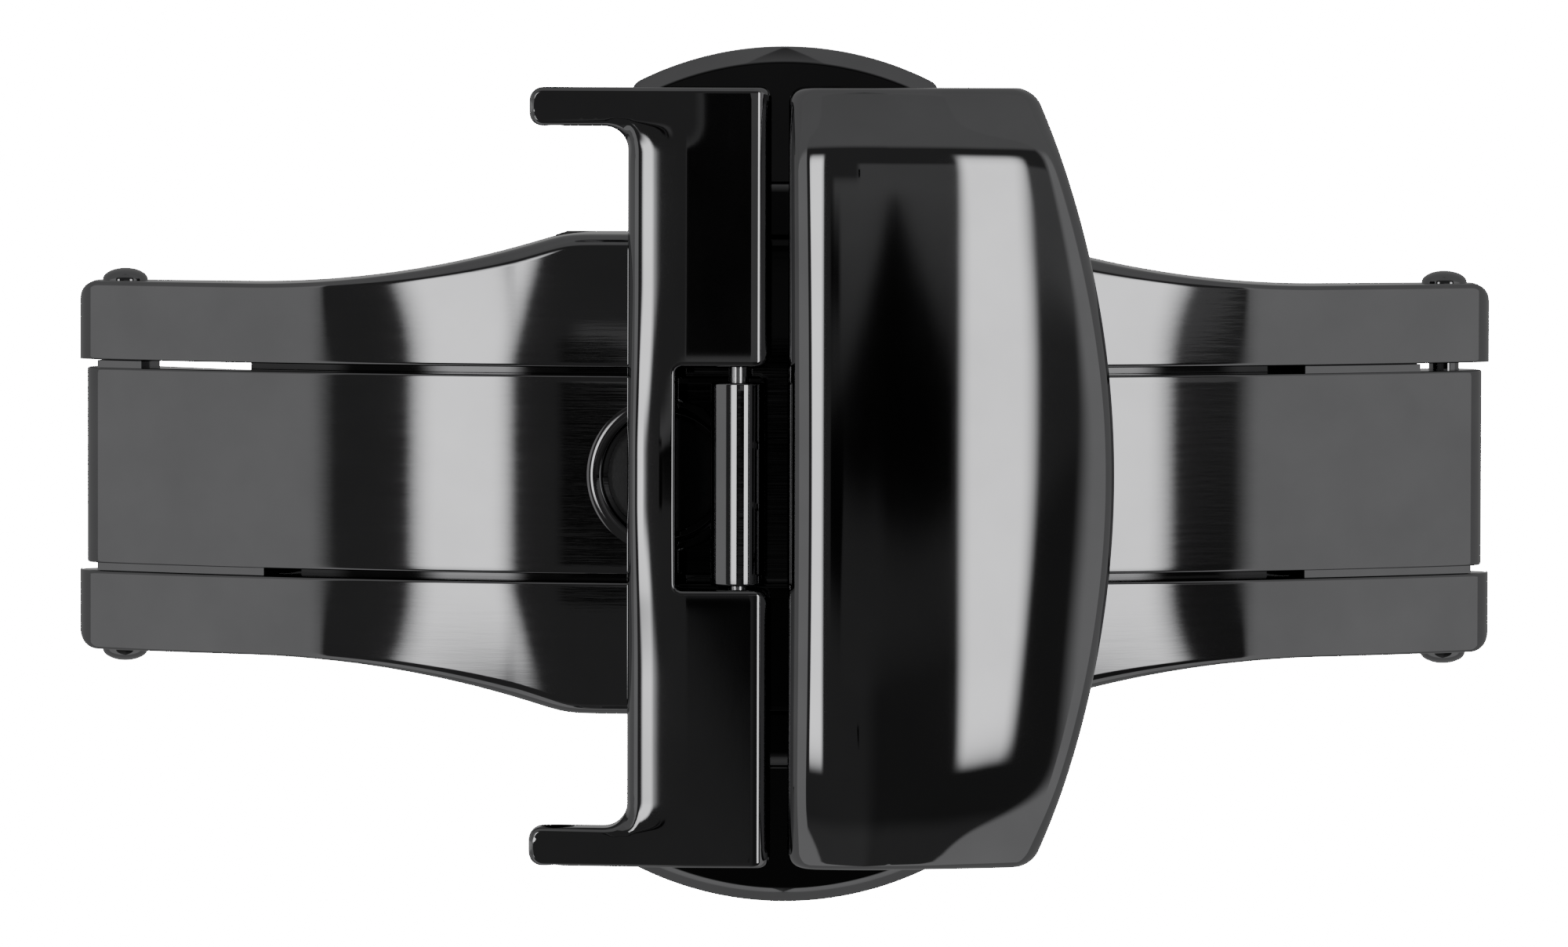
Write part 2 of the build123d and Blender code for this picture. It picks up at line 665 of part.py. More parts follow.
bar_tube_bore = 0.3
bar_tube_half = 8.0
bar_tip_radius = 0.28
bar_tip_collar_radius = 0.45
bar_collar_gap = 0.25         # collar of a tip from the end of the tube
bar_collar_width = 0.45
bar_tip_inset = 2.0           # how deep a tip reaches into the tube
bar_tip_end = 0.35            # end of a tip short of the cover's outer face
bar_coil_radius = 0.2
bar_coil_wire = 0.05
bar_coil_turns = 10


def spring_bar_tube():
    """Tube of the spring bar."""
    tube = bar(knuckle_x, knuckle_z, bar_tube_radius, -bar_tube_half, bar_tube_half)
    return tube - bar(knuckle_x, knuckle_z, bar_tube_bore, -bar_tube_half - overrun,
                      bar_tube_half + overrun)


def spring_bar_tip(end):
    """Sprung tip with the collar by which it is drawn in."""
    collar = bar_tube_half + bar_collar_gap
    spans = (
        (bar_tip_radius, bar_tube_half - bar_tip_inset, outer_half - bar_tip_end),
        (bar_tip_collar_radius, collar, collar + bar_collar_width),
    )
    tip = Part()
    for radius, near, far in spans:
        low, high = sorted((end * near, end * far))
        tip += bar(knuckle_x, knuckle_z, radius, low, high)
    return tip


def spring_bar_spring():
    """Spring between the two tips."""
    reach = bar_tube_half - bar_tip_inset
    return coil(knuckle_x, knuckle_z, -reach, reach, bar_coil_radius, bar_coil_wire,
                bar_coil_turns)


# Tongue that goes through a hole of the strap
tongue_length = 7.3           # tip of the tongue from the middle
tongue_thickness = 0.6
tongue_rise = 0.1             # tongue above the arm when it is down


def strap_tongue():
    """A loop on the spring bar with a curved prong."""
    low = arch_radius + tongue_rise
    prong = arch_ring(low, low + tongue_thickness)
    tip_x = tongue_length - tongue_thickness / 2
    prong &= rectangle(knuckle_x, tip_x, 0, cover_height)
    prong += disc(tip_x, arch_height(tip_x, low + tongue_thickness / 2), tongue_thickness / 2)
    prong += disc(knuckle_x, knuckle_z, tongue_loop_radius)
    tongue = along_y(prong, -tongue_half, tongue_half)
    return tongue - bar(knuckle_x, knuckle_z, bar_tube_radius + turning_gap, -arm_half, arm_half)


def write(name, piece):
    """Writes one sub-part."""
    export_step(piece, "parts/" + name + ".step")


os.makedirs("parts", exist_ok=True)
button = rear_button()
screws = [back_plate_screw(x, y) for x in (-screw_x, screw_x) for y in (-screw_y, screw_y)]
write("base_frame", base_frame())
write("back_plate", back_plate())
write("back_plate_screws", Compound(children=screws))
write("left_arm", left_arm())
write("right_arm", right_arm())
write("rear_button", button)
write("front_button", Rot(0, 0, 180) * button)
for name, side in (("left", -1), ("right", 1)):
    write(name + "_hinge_pin", hinge_pin(side))
    write(name + "_catch_stud", catch_stud(side))
    write("rear_spring_" + name, button_spring(side * spring_x, 1))
    write("front_spring_" + name, button_spring(side * spring_x, -1))
write("strap_bracket", strap_bracket())
write("bracket_pin", bracket_pin())
write("strap_cover", strap_cover())
write("strap_tongue", strap_tongue())
write("spring_bar_tube", spring_bar_tube())
write("spring_bar_rear_tip", spring_bar_tip(1))
write("spring_bar_front_tip", spring_bar_tip(-1))
write("spring_bar_spring", spring_bar_spring())
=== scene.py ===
# %% [markdown]
# A butterfly clasp for a watch strap, seen from above, closed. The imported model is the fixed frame:
# every piece that is made here lies where its node lies and moves with its node's body.
# The solids already have the right sizes. What Blender adds is what polished black steel lives from:
# rounded edges that catch a thin line of light, smooth crowns that carry long reflections, and soft
# lights that are worth reflecting.

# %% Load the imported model
from math import asin, atan2, cos, hypot, pi, radians, sin, sqrt

import bmesh
import bpy
import numpy as np
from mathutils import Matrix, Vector
from mathutils.geometry import delaunay_2d_cdt


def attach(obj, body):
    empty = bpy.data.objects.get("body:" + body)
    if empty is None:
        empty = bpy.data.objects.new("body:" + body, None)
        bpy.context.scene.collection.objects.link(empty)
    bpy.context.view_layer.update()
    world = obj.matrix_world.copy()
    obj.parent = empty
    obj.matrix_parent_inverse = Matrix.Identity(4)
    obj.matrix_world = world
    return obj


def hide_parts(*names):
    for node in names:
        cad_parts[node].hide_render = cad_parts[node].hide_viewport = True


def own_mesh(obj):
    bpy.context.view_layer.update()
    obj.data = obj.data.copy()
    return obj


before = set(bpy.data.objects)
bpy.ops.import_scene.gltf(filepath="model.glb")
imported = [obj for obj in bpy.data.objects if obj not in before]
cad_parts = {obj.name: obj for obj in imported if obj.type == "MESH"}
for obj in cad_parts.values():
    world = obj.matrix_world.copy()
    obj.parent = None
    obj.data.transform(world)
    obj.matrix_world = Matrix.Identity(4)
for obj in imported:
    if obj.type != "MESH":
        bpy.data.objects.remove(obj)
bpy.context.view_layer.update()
MM = 0.001  # the shapes are written in millimetres, and Blender counts in metres
print("nodes:", len(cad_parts))

# %% [markdown]
# Every new piece is a surface worked out with numpy: points on a grid, then quads between neighbours.
# One helper gives the quads of any grid, and one turns points and faces into a mesh. Points that two
# grids share are merged, so a piece is closed, and its faces are turned outwards.

# %% From grids to a mesh
def quads(rows, columns, wrap_columns):
    """Four corners for each cell of a grid that is stored row after row."""
    r = np.arange(rows - 1)[:, None]
    c = np.arange(columns if wrap_columns else columns - 1)[None, :]
    right = (c + 1) % columns
    cells = [r * columns + c, r * columns + right, (r + 1) * columns + right, (r + 1) * columns + c]
    return np.stack(np.broadcast_arrays(*cells), axis=-1).reshape(-1, 4).tolist()


def shell(points, wrap_columns=False):
    """A grid of points, rows by columns by three, as points and faces."""
    return points.reshape(-1, 3), quads(*points.shape[:2], wrap_columns)


SHARP_ANGLE = radians(38)  # an edge that turns further than this stays crisp


def close_up(mesh):
    """Merges shared points, turns faces outwards, and smooths all but the crisp edges."""
    bm = bmesh.new()
    bm.from_mesh(mesh)
    bmesh.ops.remove_doubles(bm, verts=bm.verts, dist=0.0008 * MM)
    bmesh.ops.dissolve_degenerate(bm, edges=bm.edges, dist=0.0002 * MM)
    bmesh.ops.recalc_face_normals(bm, faces=bm.faces)
    open_edges = sum(not edge.is_manifold for edge in bm.edges)
    bm.to_mesh(mesh)
    bm.free()
    mesh.shade_smooth()
    mesh.set_sharp_from_angle(angle=SHARP_ANGLE)
    return open_edges


def make_piece(name, shells):
    """One object from several shells, in metres, at the origin."""
    points, faces, start = [], [], 0
    for corners, cells in shells:
        points.append(np.asarray(corners, float) * MM)
        faces += [[i + start for i in cell] for cell in cells]
        start += len(corners)
    mesh = bpy.data.meshes.new(name)
    mesh.from_pydata(np.concatenate(points).tolist(), [], faces)
    open_edges = close_up(mesh)
    made = bpy.data.objects.new(name, mesh)
    bpy.context.scene.collection.objects.link(made)
    print(name, len(mesh.polygons), "faces,", open_edges, "open edges")
    return made

# %% [markdown]
# A milled slot or bore is what a cutter leaves, so it is made with a cutter: a tool mesh is taken away
# from the piece by a Boolean modifier, and the result is kept as the piece's mesh.

# %% Cutting with a tool
def carve(target, tools):
    """Takes the tools' shells away from the target."""
    for tool_shells in tools:
        tool = make_piece("tool", [tool_shells])
        cut = target.modifiers.new("cut", "BOOLEAN")
        cut.operation, cut.solver, cut.object = "DIFFERENCE", "EXACT", tool
        bpy.context.view_layer.update()
        graph = bpy.context.evaluated_depsgraph_get()
        result = bpy.data.meshes.new_from_object(target.evaluated_get(graph))
        target.modifiers.clear()
        target.data = result
        result.name = target.name
        bpy.data.objects.remove(tool)
    close_up(target.data)
    return target


def as_shell(piece):
    """A piece's points, in millimetres, and its faces. The piece itself goes."""
    points = np.empty(len(piece.data.vertices) * 3)
    piece.data.vertices.foreach_get("co", points)
    faces = [list(face.vertices) for face in piece.data.polygons]
    bpy.data.objects.remove(piece)
    return points.reshape(-1, 3) / MM, faces


def joined(name, parts):
    """Several pieces as one object."""
    return make_piece(name, [as_shell(part) for part in parts])


def prism(ring, z_low, z_high):
    """A cutter with an upright wall. Its ring is pinched to the middle at both ends, which closes it."""
    middle = ring.mean(0)
    levels = ((z_low, 0), (z_low, 1), (z_high, 1), (z_high, 0))
    rows = [np.column_stack([middle + (ring - middle) * wide, np.full(len(ring), z)]) for z, wide in levels]
    return shell(np.stack(rows), wrap_columns=True)


def box_shell(x_low, x_high, y_low, y_high, z_low, z_high):
    """A cutter's box."""
    ring = np.array([(x_low, y_low), (x_high, y_low), (x_high, y_high), (x_low, y_high)])
    return prism(ring, z_low, z_high)


def turned(profile, centre, axis="y", count=96):
    """A lathe shape: pairs of radius and place along the axis, turned through a full circle."""
    radius, along = np.array(profile, float).T
    angle = np.linspace(0, 2 * pi, count, endpoint=False)
    across, up = radius[:, None] * np.cos(angle), radius[:, None] * np.sin(angle)
    along = np.broadcast_to(along[:, None], across.shape)
    order = (across, along, up) if axis == "y" else (across, up, along)
    return shell(np.stack(order, axis=-1) + np.array(centre, float), wrap_columns=True)

# %% [markdown]
# Most parts of a clasp are plates: an outline, sawn or stamped, with an upper face, a lower face and a
# rim that is broken where the two meet. The outline is a polygon whose corners are rounded. The rim is
# a small turn that goes inwards by one radius and up by one, and the radius can change along the outline.

# %% Outlines
NEARLY_STRAIGHT = 1.56  # half a corner's angle, in radians, from which it isn't rounded
CORNER_POINTS = 13


def rounded_outline(corners, step=0.08):
    """Corners (x, y, radius) joined by lines, each replaced by its tangent arc, at an even step."""
    points, count = [], len(corners)
    for i, (x, y, radius) in enumerate(corners):
        here = np.array((x, y), float)
        back = np.array(corners[i - 1][:2]) - here
        ahead = np.array(corners[(i + 1) % count][:2]) - here
        back, ahead = back / hypot(*back), ahead / hypot(*ahead)
        half = np.arccos(np.clip(back @ ahead, -1, 1)) / 2
        if radius == 0 or half > NEARLY_STRAIGHT:
            points.append(here[None])
            continue
        centre = here + (back + ahead) / hypot(*(back + ahead)) * radius / sin(half)
        start = here + back * radius / np.tan(half) - centre
        stop = here + ahead * radius / np.tan(half) - centre
        a, b = atan2(start[1], start[0]), atan2(stop[1], stop[0])
        turn = (b - a + pi) % (2 * pi) - pi
        angle = a + turn * np.linspace(0, 1, CORNER_POINTS)
        points.append(centre + radius * np.column_stack([np.cos(angle), np.sin(angle)]))
    return even_steps(np.concatenate(points), step)


def even_steps(points, step):
    """The closed line through the points, walked at an even step."""
    closed = np.vstack([points, points[:1]])
    run = np.concatenate([[0], np.cumsum(np.hypot(*np.diff(closed, axis=0).T))])
    places = np.linspace(0, run[-1], int(run[-1] / step), endpoint=False)
    return np.column_stack([np.interp(places, run, closed[:, k]) for k in (0, 1)])


def outward(outline):
    """Unit normals of a closed outline, which point away from its area."""
    along = np.roll(outline, -1, 0) - np.roll(outline, 1, 0)
    along /= np.hypot(*along.T)[:, None]
    area = np.sum(outline[:, 0] * np.roll(outline[:, 1], -1) - np.roll(outline[:, 0], -1) * outline[:, 1])
    return np.column_stack([along[:, 1], -along[:, 0]]) * (1 if area > 0 else -1)


def inside(points, outline):
    """Which points lie in the outline, by counting the sides that a ray to the right crosses."""
    x, y = points[:, 0:1], points[:, 1:2]
    ax, ay = outline.T
    bx, by = np.roll(outline, -1, 0).T
    crosses = (ay > y) != (by > y)
    rise = np.where(by == ay, 1, by - ay)
    return np.sum(crosses & (x < ax + (y - ay) / rise * (bx - ax)), axis=1) % 2 == 1

# %% Plates with a rim
# A rim's section in radii: how far in, and how far under the face. The last row lies flat in the face,
# which keeps the face's shading level up to the rim.
RIM_TURN = np.linspace(0, pi / 2, 8)
ROUND_RIM = (np.append(1 - np.cos(RIM_TURN), 1.08), np.append(1 - np.sin(RIM_TURN), 0))
BEVEL_RIM = (np.array([0, 0.01, 0.03, 0.07, 0.88, 0.93, 0.96, 1, 1.03]),
             np.array([1, 0.96, 0.92, 0.88, 0.07, 0.03, 0.01, 0, 0]))


def cap(loop, height, spacing, extra=None):
    """A face inside a loop: its triangles join the loop to an even grid, lifted to height(x, y)."""
    low, high = loop.min(0), loop.max(0)
    across = [np.arange(low[k] + spacing / 2, high[k], spacing) for k in (0, 1)]
    grid = np.stack(np.meshgrid(*across, indexing="ij"), axis=-1).reshape(-1, 2)
    if extra is not None:
        grid = np.vstack([grid, extra])
    grid = grid[inside(grid, loop)]
    gap = np.min(np.hypot(grid[:, 0:1] - loop[:, 0], grid[:, 1:2] - loop[:, 1]), axis=1)
    grid = grid[gap > 0.45 * min(spacing, 0.2)]
    every = np.vstack([loop, grid])
    made = delaunay_2d_cdt([Vector(p) for p in every.tolist()], [], [list(range(len(loop)))], 1, 1e-7)
    flat = np.array([tuple(v) for v in made[0]])
    return np.column_stack([flat, height(flat[:, 0], flat[:, 1])]), [list(f) for f in made[2]]


def flat_face(z):
    """A flat face, as a function of the plan."""
    return lambda x, y: np.full(np.shape(x), float(z))


def plate(outline, top, low, top_rim, low_rim, spacing=0.4, extra=None, rim=ROUND_RIM):
    """A plate between two faces, each a height or a function of the plan, with its rims and its wall."""
    top, low = (face if callable(face) else flat_face(face) for face in (top, low))
    normal = outward(outline)
    room = 0.49 * (top(*outline.T) - low(*outline.T))
    sides = []
    for height, radius, way in ((top, top_rim, 1), (low, low_rim, -1)):
        radius = np.minimum(radius, room)
        side = []
        for inset, drop in zip(*rim):
            place = outline - normal * (radius * inset)[:, None]
            side.append(np.column_stack([place, height(*place.T) - way * radius * drop]))
        sides.append(side)
    upper, lower = sides
    wall = [upper[0] + (lower[0] - upper[0]) * share for share in (0.03, 0.97)]
    rows = upper[::-1] + wall + lower
    shells = [shell(np.stack(rows), wrap_columns=True)]
    for row, height in ((rows[0], top), (rows[-1], low)):
        shells.append(cap(row[:, :2], height, spacing, extra))
    return shells


def stand_up(shells):
    """Turns plates that were drawn in X and Z, with their thickness along Y, into place."""
    return [(np.asarray(points)[:, [0, 2, 1]], cells) for points, cells in shells]

# %% [markdown]
# The frame is one bowed bar of steel. Seen from above it is straight rails that flare out to a broad
# middle. Each rail is a rounded rectangle that travels along the clasp: its upper edge follows the arch,
# its lower edge the wrist, and its outer side the flare. So a rail is one grid, stations by section.

# %% Sizes that the frame shares
END_ROUND = 1.0  # radius of the rails' ends, seen from the side
END_X = 17.6  # middle of that round
TIP_X = END_X + END_ROUND
ARCH_RADIUS = 32.0
ARCH_Z = END_ROUND - sqrt((ARCH_RADIUS - END_ROUND) ** 2 - END_X ** 2)
ARCH_TOP = ARCH_Z + ARCH_RADIUS
MIDDLE_THICKNESS = 4.35
WRIST_TOP = ARCH_TOP - MIDDLE_THICKNESS
WRIST_RADIUS = (END_X ** 2 + WRIST_TOP ** 2) / (2 * WRIST_TOP) - END_ROUND
WRIST_Z = WRIST_TOP - WRIST_RADIUS
BED_HALF = 2.78
RAIL_HALF = 4.86
BODY_HALF = 6.23  # half width of the broad middle
BODY_X, FLARE_X = 5.7, 14.0  # where the middle ends and where the rails are straight
FLARE_SOFT = 0.07
RAIL_CORNER = 0.5  # the rails' corners, seen from above
CROWN_REACH, CROWN_DROP = 2.9, 0.13
BED_RADIUS = 30.85
FORK_LENGTH = 4.6
BED_X = TIP_X - FORK_LENGTH
BED_THICKNESS = 0.84
POCKET_TOP = ARCH_Z + BED_RADIUS - BED_THICKNESS


def arch(x, radius=ARCH_RADIUS):
    """Height of a circle about the arch's centre."""
    return ARCH_Z + np.sqrt(radius ** 2 - np.square(x))


def frame_top(x):
    """The arch, then the round end of the rail."""
    over = np.clip(np.abs(x) - END_X, 0, END_ROUND)
    joint = END_X + END_X / (ARCH_RADIUS - END_ROUND)
    end = END_ROUND + np.sqrt(END_ROUND ** 2 - over ** 2)
    return np.where(np.abs(x) < joint, arch(np.clip(x, -joint, joint)), end)


def frame_low(x):
    """The wrist side, then the round end of the rail."""
    over = np.abs(x) - END_X
    joint = END_X - END_X / (WRIST_RADIUS + END_ROUND)
    bow = WRIST_Z + np.sqrt(WRIST_RADIUS ** 2 - np.square(np.clip(x, -joint, joint)))
    end = END_ROUND - np.sqrt(np.clip(END_ROUND ** 2 - over ** 2, 0, None))
    return np.where(np.abs(x) < joint, bow, end)


def frame_outer(x):
    """Half width of the frame: broad middle, flare, straight rail, rounded corner."""
    x = np.abs(x)
    rise = BODY_HALF - RAIL_HALF
    radius = ((FLARE_X - BODY_X) ** 2 + rise ** 2) / (2 * rise)
    flare = RAIL_HALF + radius - np.sqrt(radius ** 2 - np.clip(FLARE_X - x, 0, 10) ** 2)
    flare = -FLARE_SOFT * np.logaddexp(-flare / FLARE_SOFT, -BODY_HALF / FLARE_SOFT)
    over = np.clip(x - (TIP_X - RAIL_CORNER), 0, RAIL_CORNER)
    return flare - RAIL_CORNER + np.sqrt(RAIL_CORNER ** 2 - over ** 2)


# %% Rails and bed
RAIL_STATIONS = 421


def rail(side):
    """One rail: corner arcs and a gently crowned top, joined into a section for each station along X."""
    x = TIP_X * np.sin(np.linspace(-pi / 2, pi / 2, RAIL_STATIONS))
    outer, top, low = frame_outer(x), frame_top(x), frame_low(x)
    room = 0.49 * np.minimum(top - low, outer - BED_HALF)
    broad = np.clip((12 - np.abs(x)) / 5, 0, 1)
    in_fork = np.clip((np.abs(x) - BED_X) / 0.2, 0, 1)
    inner = np.full(x.shape, BED_HALF)
    corners = ((outer, low, np.full(x.shape, 0.2), -1, 1, -pi / 2),
               (outer, top, 0.14 + 0.24 * broad, -1, -1, 0),
               (inner, top, np.full(x.shape, 0.09), 1, -1, pi / 2),
               (inner, low, 0.01 + 0.1 * in_fork, 1, 1, pi))
    section = []
    for y, z, radius, in_y, in_z, start in corners:
        radius = np.minimum(radius, room)[:, None]
        section.append(np.stack([y[:, None] + radius * (in_y + np.cos(start + RIM_TURN)),
                                 z[:, None] + radius * (in_z + np.sin(start + RIM_TURN))], axis=-1))
    way = np.concatenate([[0.015], np.linspace(0, 1, 16)[1:-1], [0.985]])
    across = section[1][:, -1:] + (section[2][:, :1] - section[1][:, -1:]) * way[:, None]
    section = np.concatenate([section[0], section[1], across, section[2], section[3]], axis=1)
    depth = np.clip(1 - (outer[:, None] - section[..., 0]) / CROWN_REACH, 0, 1) ** 2 * CROWN_DROP
    upper = (section[..., 1] - (top + low)[:, None] / 2) * 2 / (top - low)[:, None]
    section[..., 1] -= depth * broad[:, None] * np.clip(upper * 2, 0, 1)
    stations = np.broadcast_to(x[:, None], section.shape[:2])
    return shell(np.stack([stations, side * section[..., 0], section[..., 1]], axis=-1), wrap_columns=True)


def bed():
    """The sunken floor between the rails, on which both arms lie."""
    x = np.linspace(-BED_X, BED_X, 161)
    half = BED_HALF + 0.02
    top, low = arch(x, BED_RADIUS), frame_low(x)
    corners = ((half, low), (half, top), (-half, top), (-half, low))
    grid = np.stack([np.column_stack([x, np.full(x.shape, y), z]) for y, z in corners], axis=1)
    return [shell(grid, wrap_columns=True)] + [(grid[k], [[0, 1, 2, 3]]) for k in (0, -1)]


def slot_tool(x, stretch, radius, z_low, z_high):
    """A cutter for a short slot: a circle drawn out along X."""
    angle = np.linspace(0, 2 * pi, 72, endpoint=False)
    along = x + np.sign(np.cos(angle)) * stretch / 2 + radius * np.cos(angle)
    return prism(np.column_stack([along, radius * np.sin(angle)]), z_low, z_high)


WINDOW_X = 3.6  # half length of the openings for the buttons
POCKET_X = 4.85  # half length of the lock's room
POCKET_Y = BODY_HALF - 0.7
CUT_LOW, CUT_HIGH, CUT_SIDE = -1.0, 8.0, 7.2  # a cutter starts and ends outside the clasp
SLOT_X, SLOT_STRETCH, SLOT_RADIUS = 3.4, 0.6, 1.0
pocket = box_shell(-POCKET_X, POCKET_X, -POCKET_Y, POCKET_Y, CUT_LOW, POCKET_TOP)
window = box_shell(-WINDOW_X, WINDOW_X, -CUT_SIDE, CUT_SIDE, CUT_LOW, POCKET_TOP - 0.001)
stud_slots = [slot_tool(x, SLOT_STRETCH, SLOT_RADIUS, POCKET_TOP - 0.2, CUT_HIGH) for x in (SLOT_X, -SLOT_X)]
rails = [carve(make_piece("rail", [rail(side)]), [pocket, window]) for side in (1, -1)]
floor_of_bed = carve(make_piece("bed", bed()), [pocket, *stud_slots])
bowed_frame = joined("bowed_frame", rails + [floor_of_bed])

# %% [markdown]
# Each arm is a strip bent to the arch and rolled into an eye at its hinge. It is drawn from the side,
# as a closed outline, and given its width. A lathe-turned cutter leaves the bore over the catch stud,
# which has a thin bead round it on the left arm. The left arm's knuckle is one broad barrel, the right
# arm's are two short rolls on a web.

# %% Arms
ARM_HALF = 2.58
ARM_END_X = 0.6  # inner end of a blade
ARM_UNDER = 31.0  # radius of an arm's underside
EYE_RADIUS = 1.0
EYE_ROOT_X = BED_X + 0.4
HINGE_X = TIP_X - 1.2
HINGE_Z = ARCH_Z + sqrt((ARCH_RADIUS - EYE_RADIUS) ** 2 - HINGE_X ** 2)
KNUCKLE_X = 1.2
KNUCKLE_Z = ARCH_TOP + 0.96
WEB_RADIUS = 0.4
BARREL_HALF = 0.7
STUD_X = 3.1
CHEEK_TOP, CHEEK_LOW = 31.96, 31.1
CHEEK_ROOT = 0.02  # how far a cheek is sunk in the blade
FORK_SIDE = 2.775  # a cheek reaches from the blade to here
PIN_CUT = 4.0  # half length of the cutters for the pins' holes


def arc_points(centre, radius, start, stop, count):
    """Points of an arc, angles in radians."""
    angle = np.linspace(start, stop, count)
    return np.column_stack([centre[0] + radius * np.cos(angle), centre[1] + radius * np.sin(angle)])


def blade_outline():
    """The strip from the side: arch above, eye at the hinge, arch less the thickness below."""
    eye = np.array((HINGE_X, HINGE_Z))
    root = np.array((EYE_ROOT_X, arch(EYE_ROOT_X, ARM_UNDER)))
    out = atan2(HINGE_Z - ARCH_Z, HINGE_X)
    back = atan2(*(root - eye)[::-1]) + np.arccos(EYE_RADIUS / hypot(*(root - eye)))
    middle = (0, ARCH_Z)
    top = arc_points(middle, ARCH_RADIUS, np.arccos(ARM_END_X / ARCH_RADIUS), out, 230)
    roll = arc_points(eye, EYE_RADIUS, out, back - 2 * pi, 48)
    under = arc_points(middle, ARM_UNDER, np.arccos(EYE_ROOT_X / ARM_UNDER), np.arccos(ARM_END_X / ARM_UNDER), 150)
    return np.vstack([top, roll[1:], under])


def roll_on_web(radius):
    """A knuckle from the side: two circles of different size inside one tangent outline."""
    a, b = np.array((KNUCKLE_X, KNUCKLE_Z)), np.array((KNUCKLE_X, arch(KNUCKLE_X, ARM_UNDER + 0.5)))
    lean = np.arccos((radius - WEB_RADIUS) / hypot(*(b - a)))
    heading = -pi / 2
    upper = arc_points(a, radius, heading + lean, heading - lean + 2 * pi, 64)
    lower = arc_points(b, WEB_RADIUS, heading - lean, heading + lean, 16)
    return np.vstack([upper, lower])


def barrel():
    """The left knuckle from the side: worn a little flat on its upper left, straight below."""
    places, rise = lean_table([
        (-BARREL_HALF, 84), (-0.67, 66), (-0.6, 44), (-0.52, 32), (-0.3, 23), (-0.24, 20.5), (-0.2, 19), (-0.02, 13.6),
        (0.0, 8), (0.13, -8), (0.15, -13.6), (0.27, -19.2), (0.31, -28), (0.5, -46), (0.65, -66), (BARREL_HALF, -84)])
    chosen = np.unique(np.concatenate([np.arange(0, len(places), 32), [len(places) - 1]]))
    top = np.column_stack([places[chosen], rise[chosen] - rise.max() + BARREL_HALF])
    foot = [(BARREL_HALF, -0.3), (0.5, -0.95), (-0.5, -0.95), (-BARREL_HALF, -0.3)]
    return (np.vstack([top, foot]) + (-KNUCKLE_X, KNUCKLE_Z))[::-1]


def cheek(side, x_from, x_to, y_low, y_high):
    """A thin strip on the side of a blade, near its eye, which keeps the arm in the middle of its fork."""
    ends = np.arccos(x_from / CHEEK_TOP), np.arccos(x_to / CHEEK_TOP)
    upper = arc_points((0, ARCH_Z), CHEEK_TOP, *ends, 24)
    lower = arc_points((0, ARCH_Z), CHEEK_LOW, *ends, 24)[::-1]
    return stand_up(plate(np.vstack([upper, lower]) * (side, 1), y_high, y_low, 0.02, 0.02, 2.0))


def lean_table(pairs):
    """Heights of a profile given by its lean in degrees at some places; the first place has height 0."""
    places, leans = np.array(pairs, float).T
    fine = np.linspace(places[0], places[-1], 1600)
    slope = np.tan(np.radians(np.interp(fine, places, leans)))
    rise = np.concatenate([[0], np.cumsum((slope[1:] + slope[:-1]) / 2 * np.diff(fine))])
    return fine, rise


def hole_tool(radius, half, x, z):
    """A cutter for a round hole along Y."""
    return turned([(0, -half), (radius, -half), (radius, half), (0, half)], (x, 0, z))


# Sections round the stud's axis, as (radius, height over the blade). The bore has a small step on its wall.
STUD_BORE = [(0, -0.9), (1.505, -0.9), (1.505, -0.16), (1.66, -0.15), (1.66, 0.3), (0, 0.3)]
STUD_BEAD = [(1.6, -0.25), (1.62, -0.03), (1.65, 0.0), (1.7, 0.021), (1.76, 0.033), (1.82, 0.036), (1.88, 0.031),
             (1.94, 0.019), (1.99, 0.004), (2.03, -0.012), (2.03, -0.25), (1.8, -0.3), (1.6, -0.25)]


def round_stud(section, side):
    """A section turned about the stud's axis, which leans with the arch."""
    lean = side * asin(STUD_X / ARCH_RADIUS)
    turn = np.array([[cos(lean), 0, sin(lean)], [0, 1, 0], [-sin(lean), 0, cos(lean)]])
    points, cells = turned(section, (0, 0, 0), "z")
    return points @ turn.T + (side * STUD_X, 0, arch(STUD_X)), cells


def arm(name, side, knuckles, bore, cheeks):
    """A blade with its knuckles and cheeks, after the cuts for the stud and the pins."""
    blade = make_piece("blade", stand_up(plate(blade_outline() * (side, 1), ARM_HALF, -ARM_HALF, 0.07, 0.07, 0.35)))
    bar_hole = hole_tool(bore, PIN_CUT, side * KNUCKLE_X, KNUCKLE_Z)
    added = []
    for outline, low, high in knuckles:
        knuckle = make_piece("knuckle", stand_up(plate(outline, high, low, 0.06, 0.06, 0.3)))
        added.append(carve(knuckle, [bar_hole]))
    added += [make_piece("cheek", cheek(side, *place)) for place in cheeks]
    if side < 0:
        added.append(make_piece("bead", [round_stud(STUD_BEAD, side)]))
    pin_hole = hole_tool(0.42, PIN_CUT, side * HINGE_X, HINGE_Z)
    return joined(name, [carve(blade, [round_stud(STUD_BORE, side), pin_hole])] + added)


roll = roll_on_web(0.8)
front_cheek = (13.6, 18.1, -FORK_SIDE, CHEEK_ROOT - ARM_HALF)
left_blade = arm("left_blade", -1, [(barrel(), -2.78, 2.46)], 0.27,
                 [(16.9, 18.1, ARM_HALF - CHEEK_ROOT, FORK_SIDE), front_cheek])
right_blade = arm("right_blade", 1, [(roll, 0.85, ARM_HALF), (roll, -ARM_HALF, -0.85)], 0.52,
                  [(13.6, 16.7, ARM_HALF - CHEEK_ROOT, FORK_SIDE), front_cheek])

# %% [markdown]
# The bracket is a cross plate with two ears and a notch round the knuckle. Its upper face is nearly flat,
# rolls over along both long edges and falls a little to the ears, which slope down. So its height is a
# function of the plan, and its rim is finer along the long edges than round the notch and the ears.

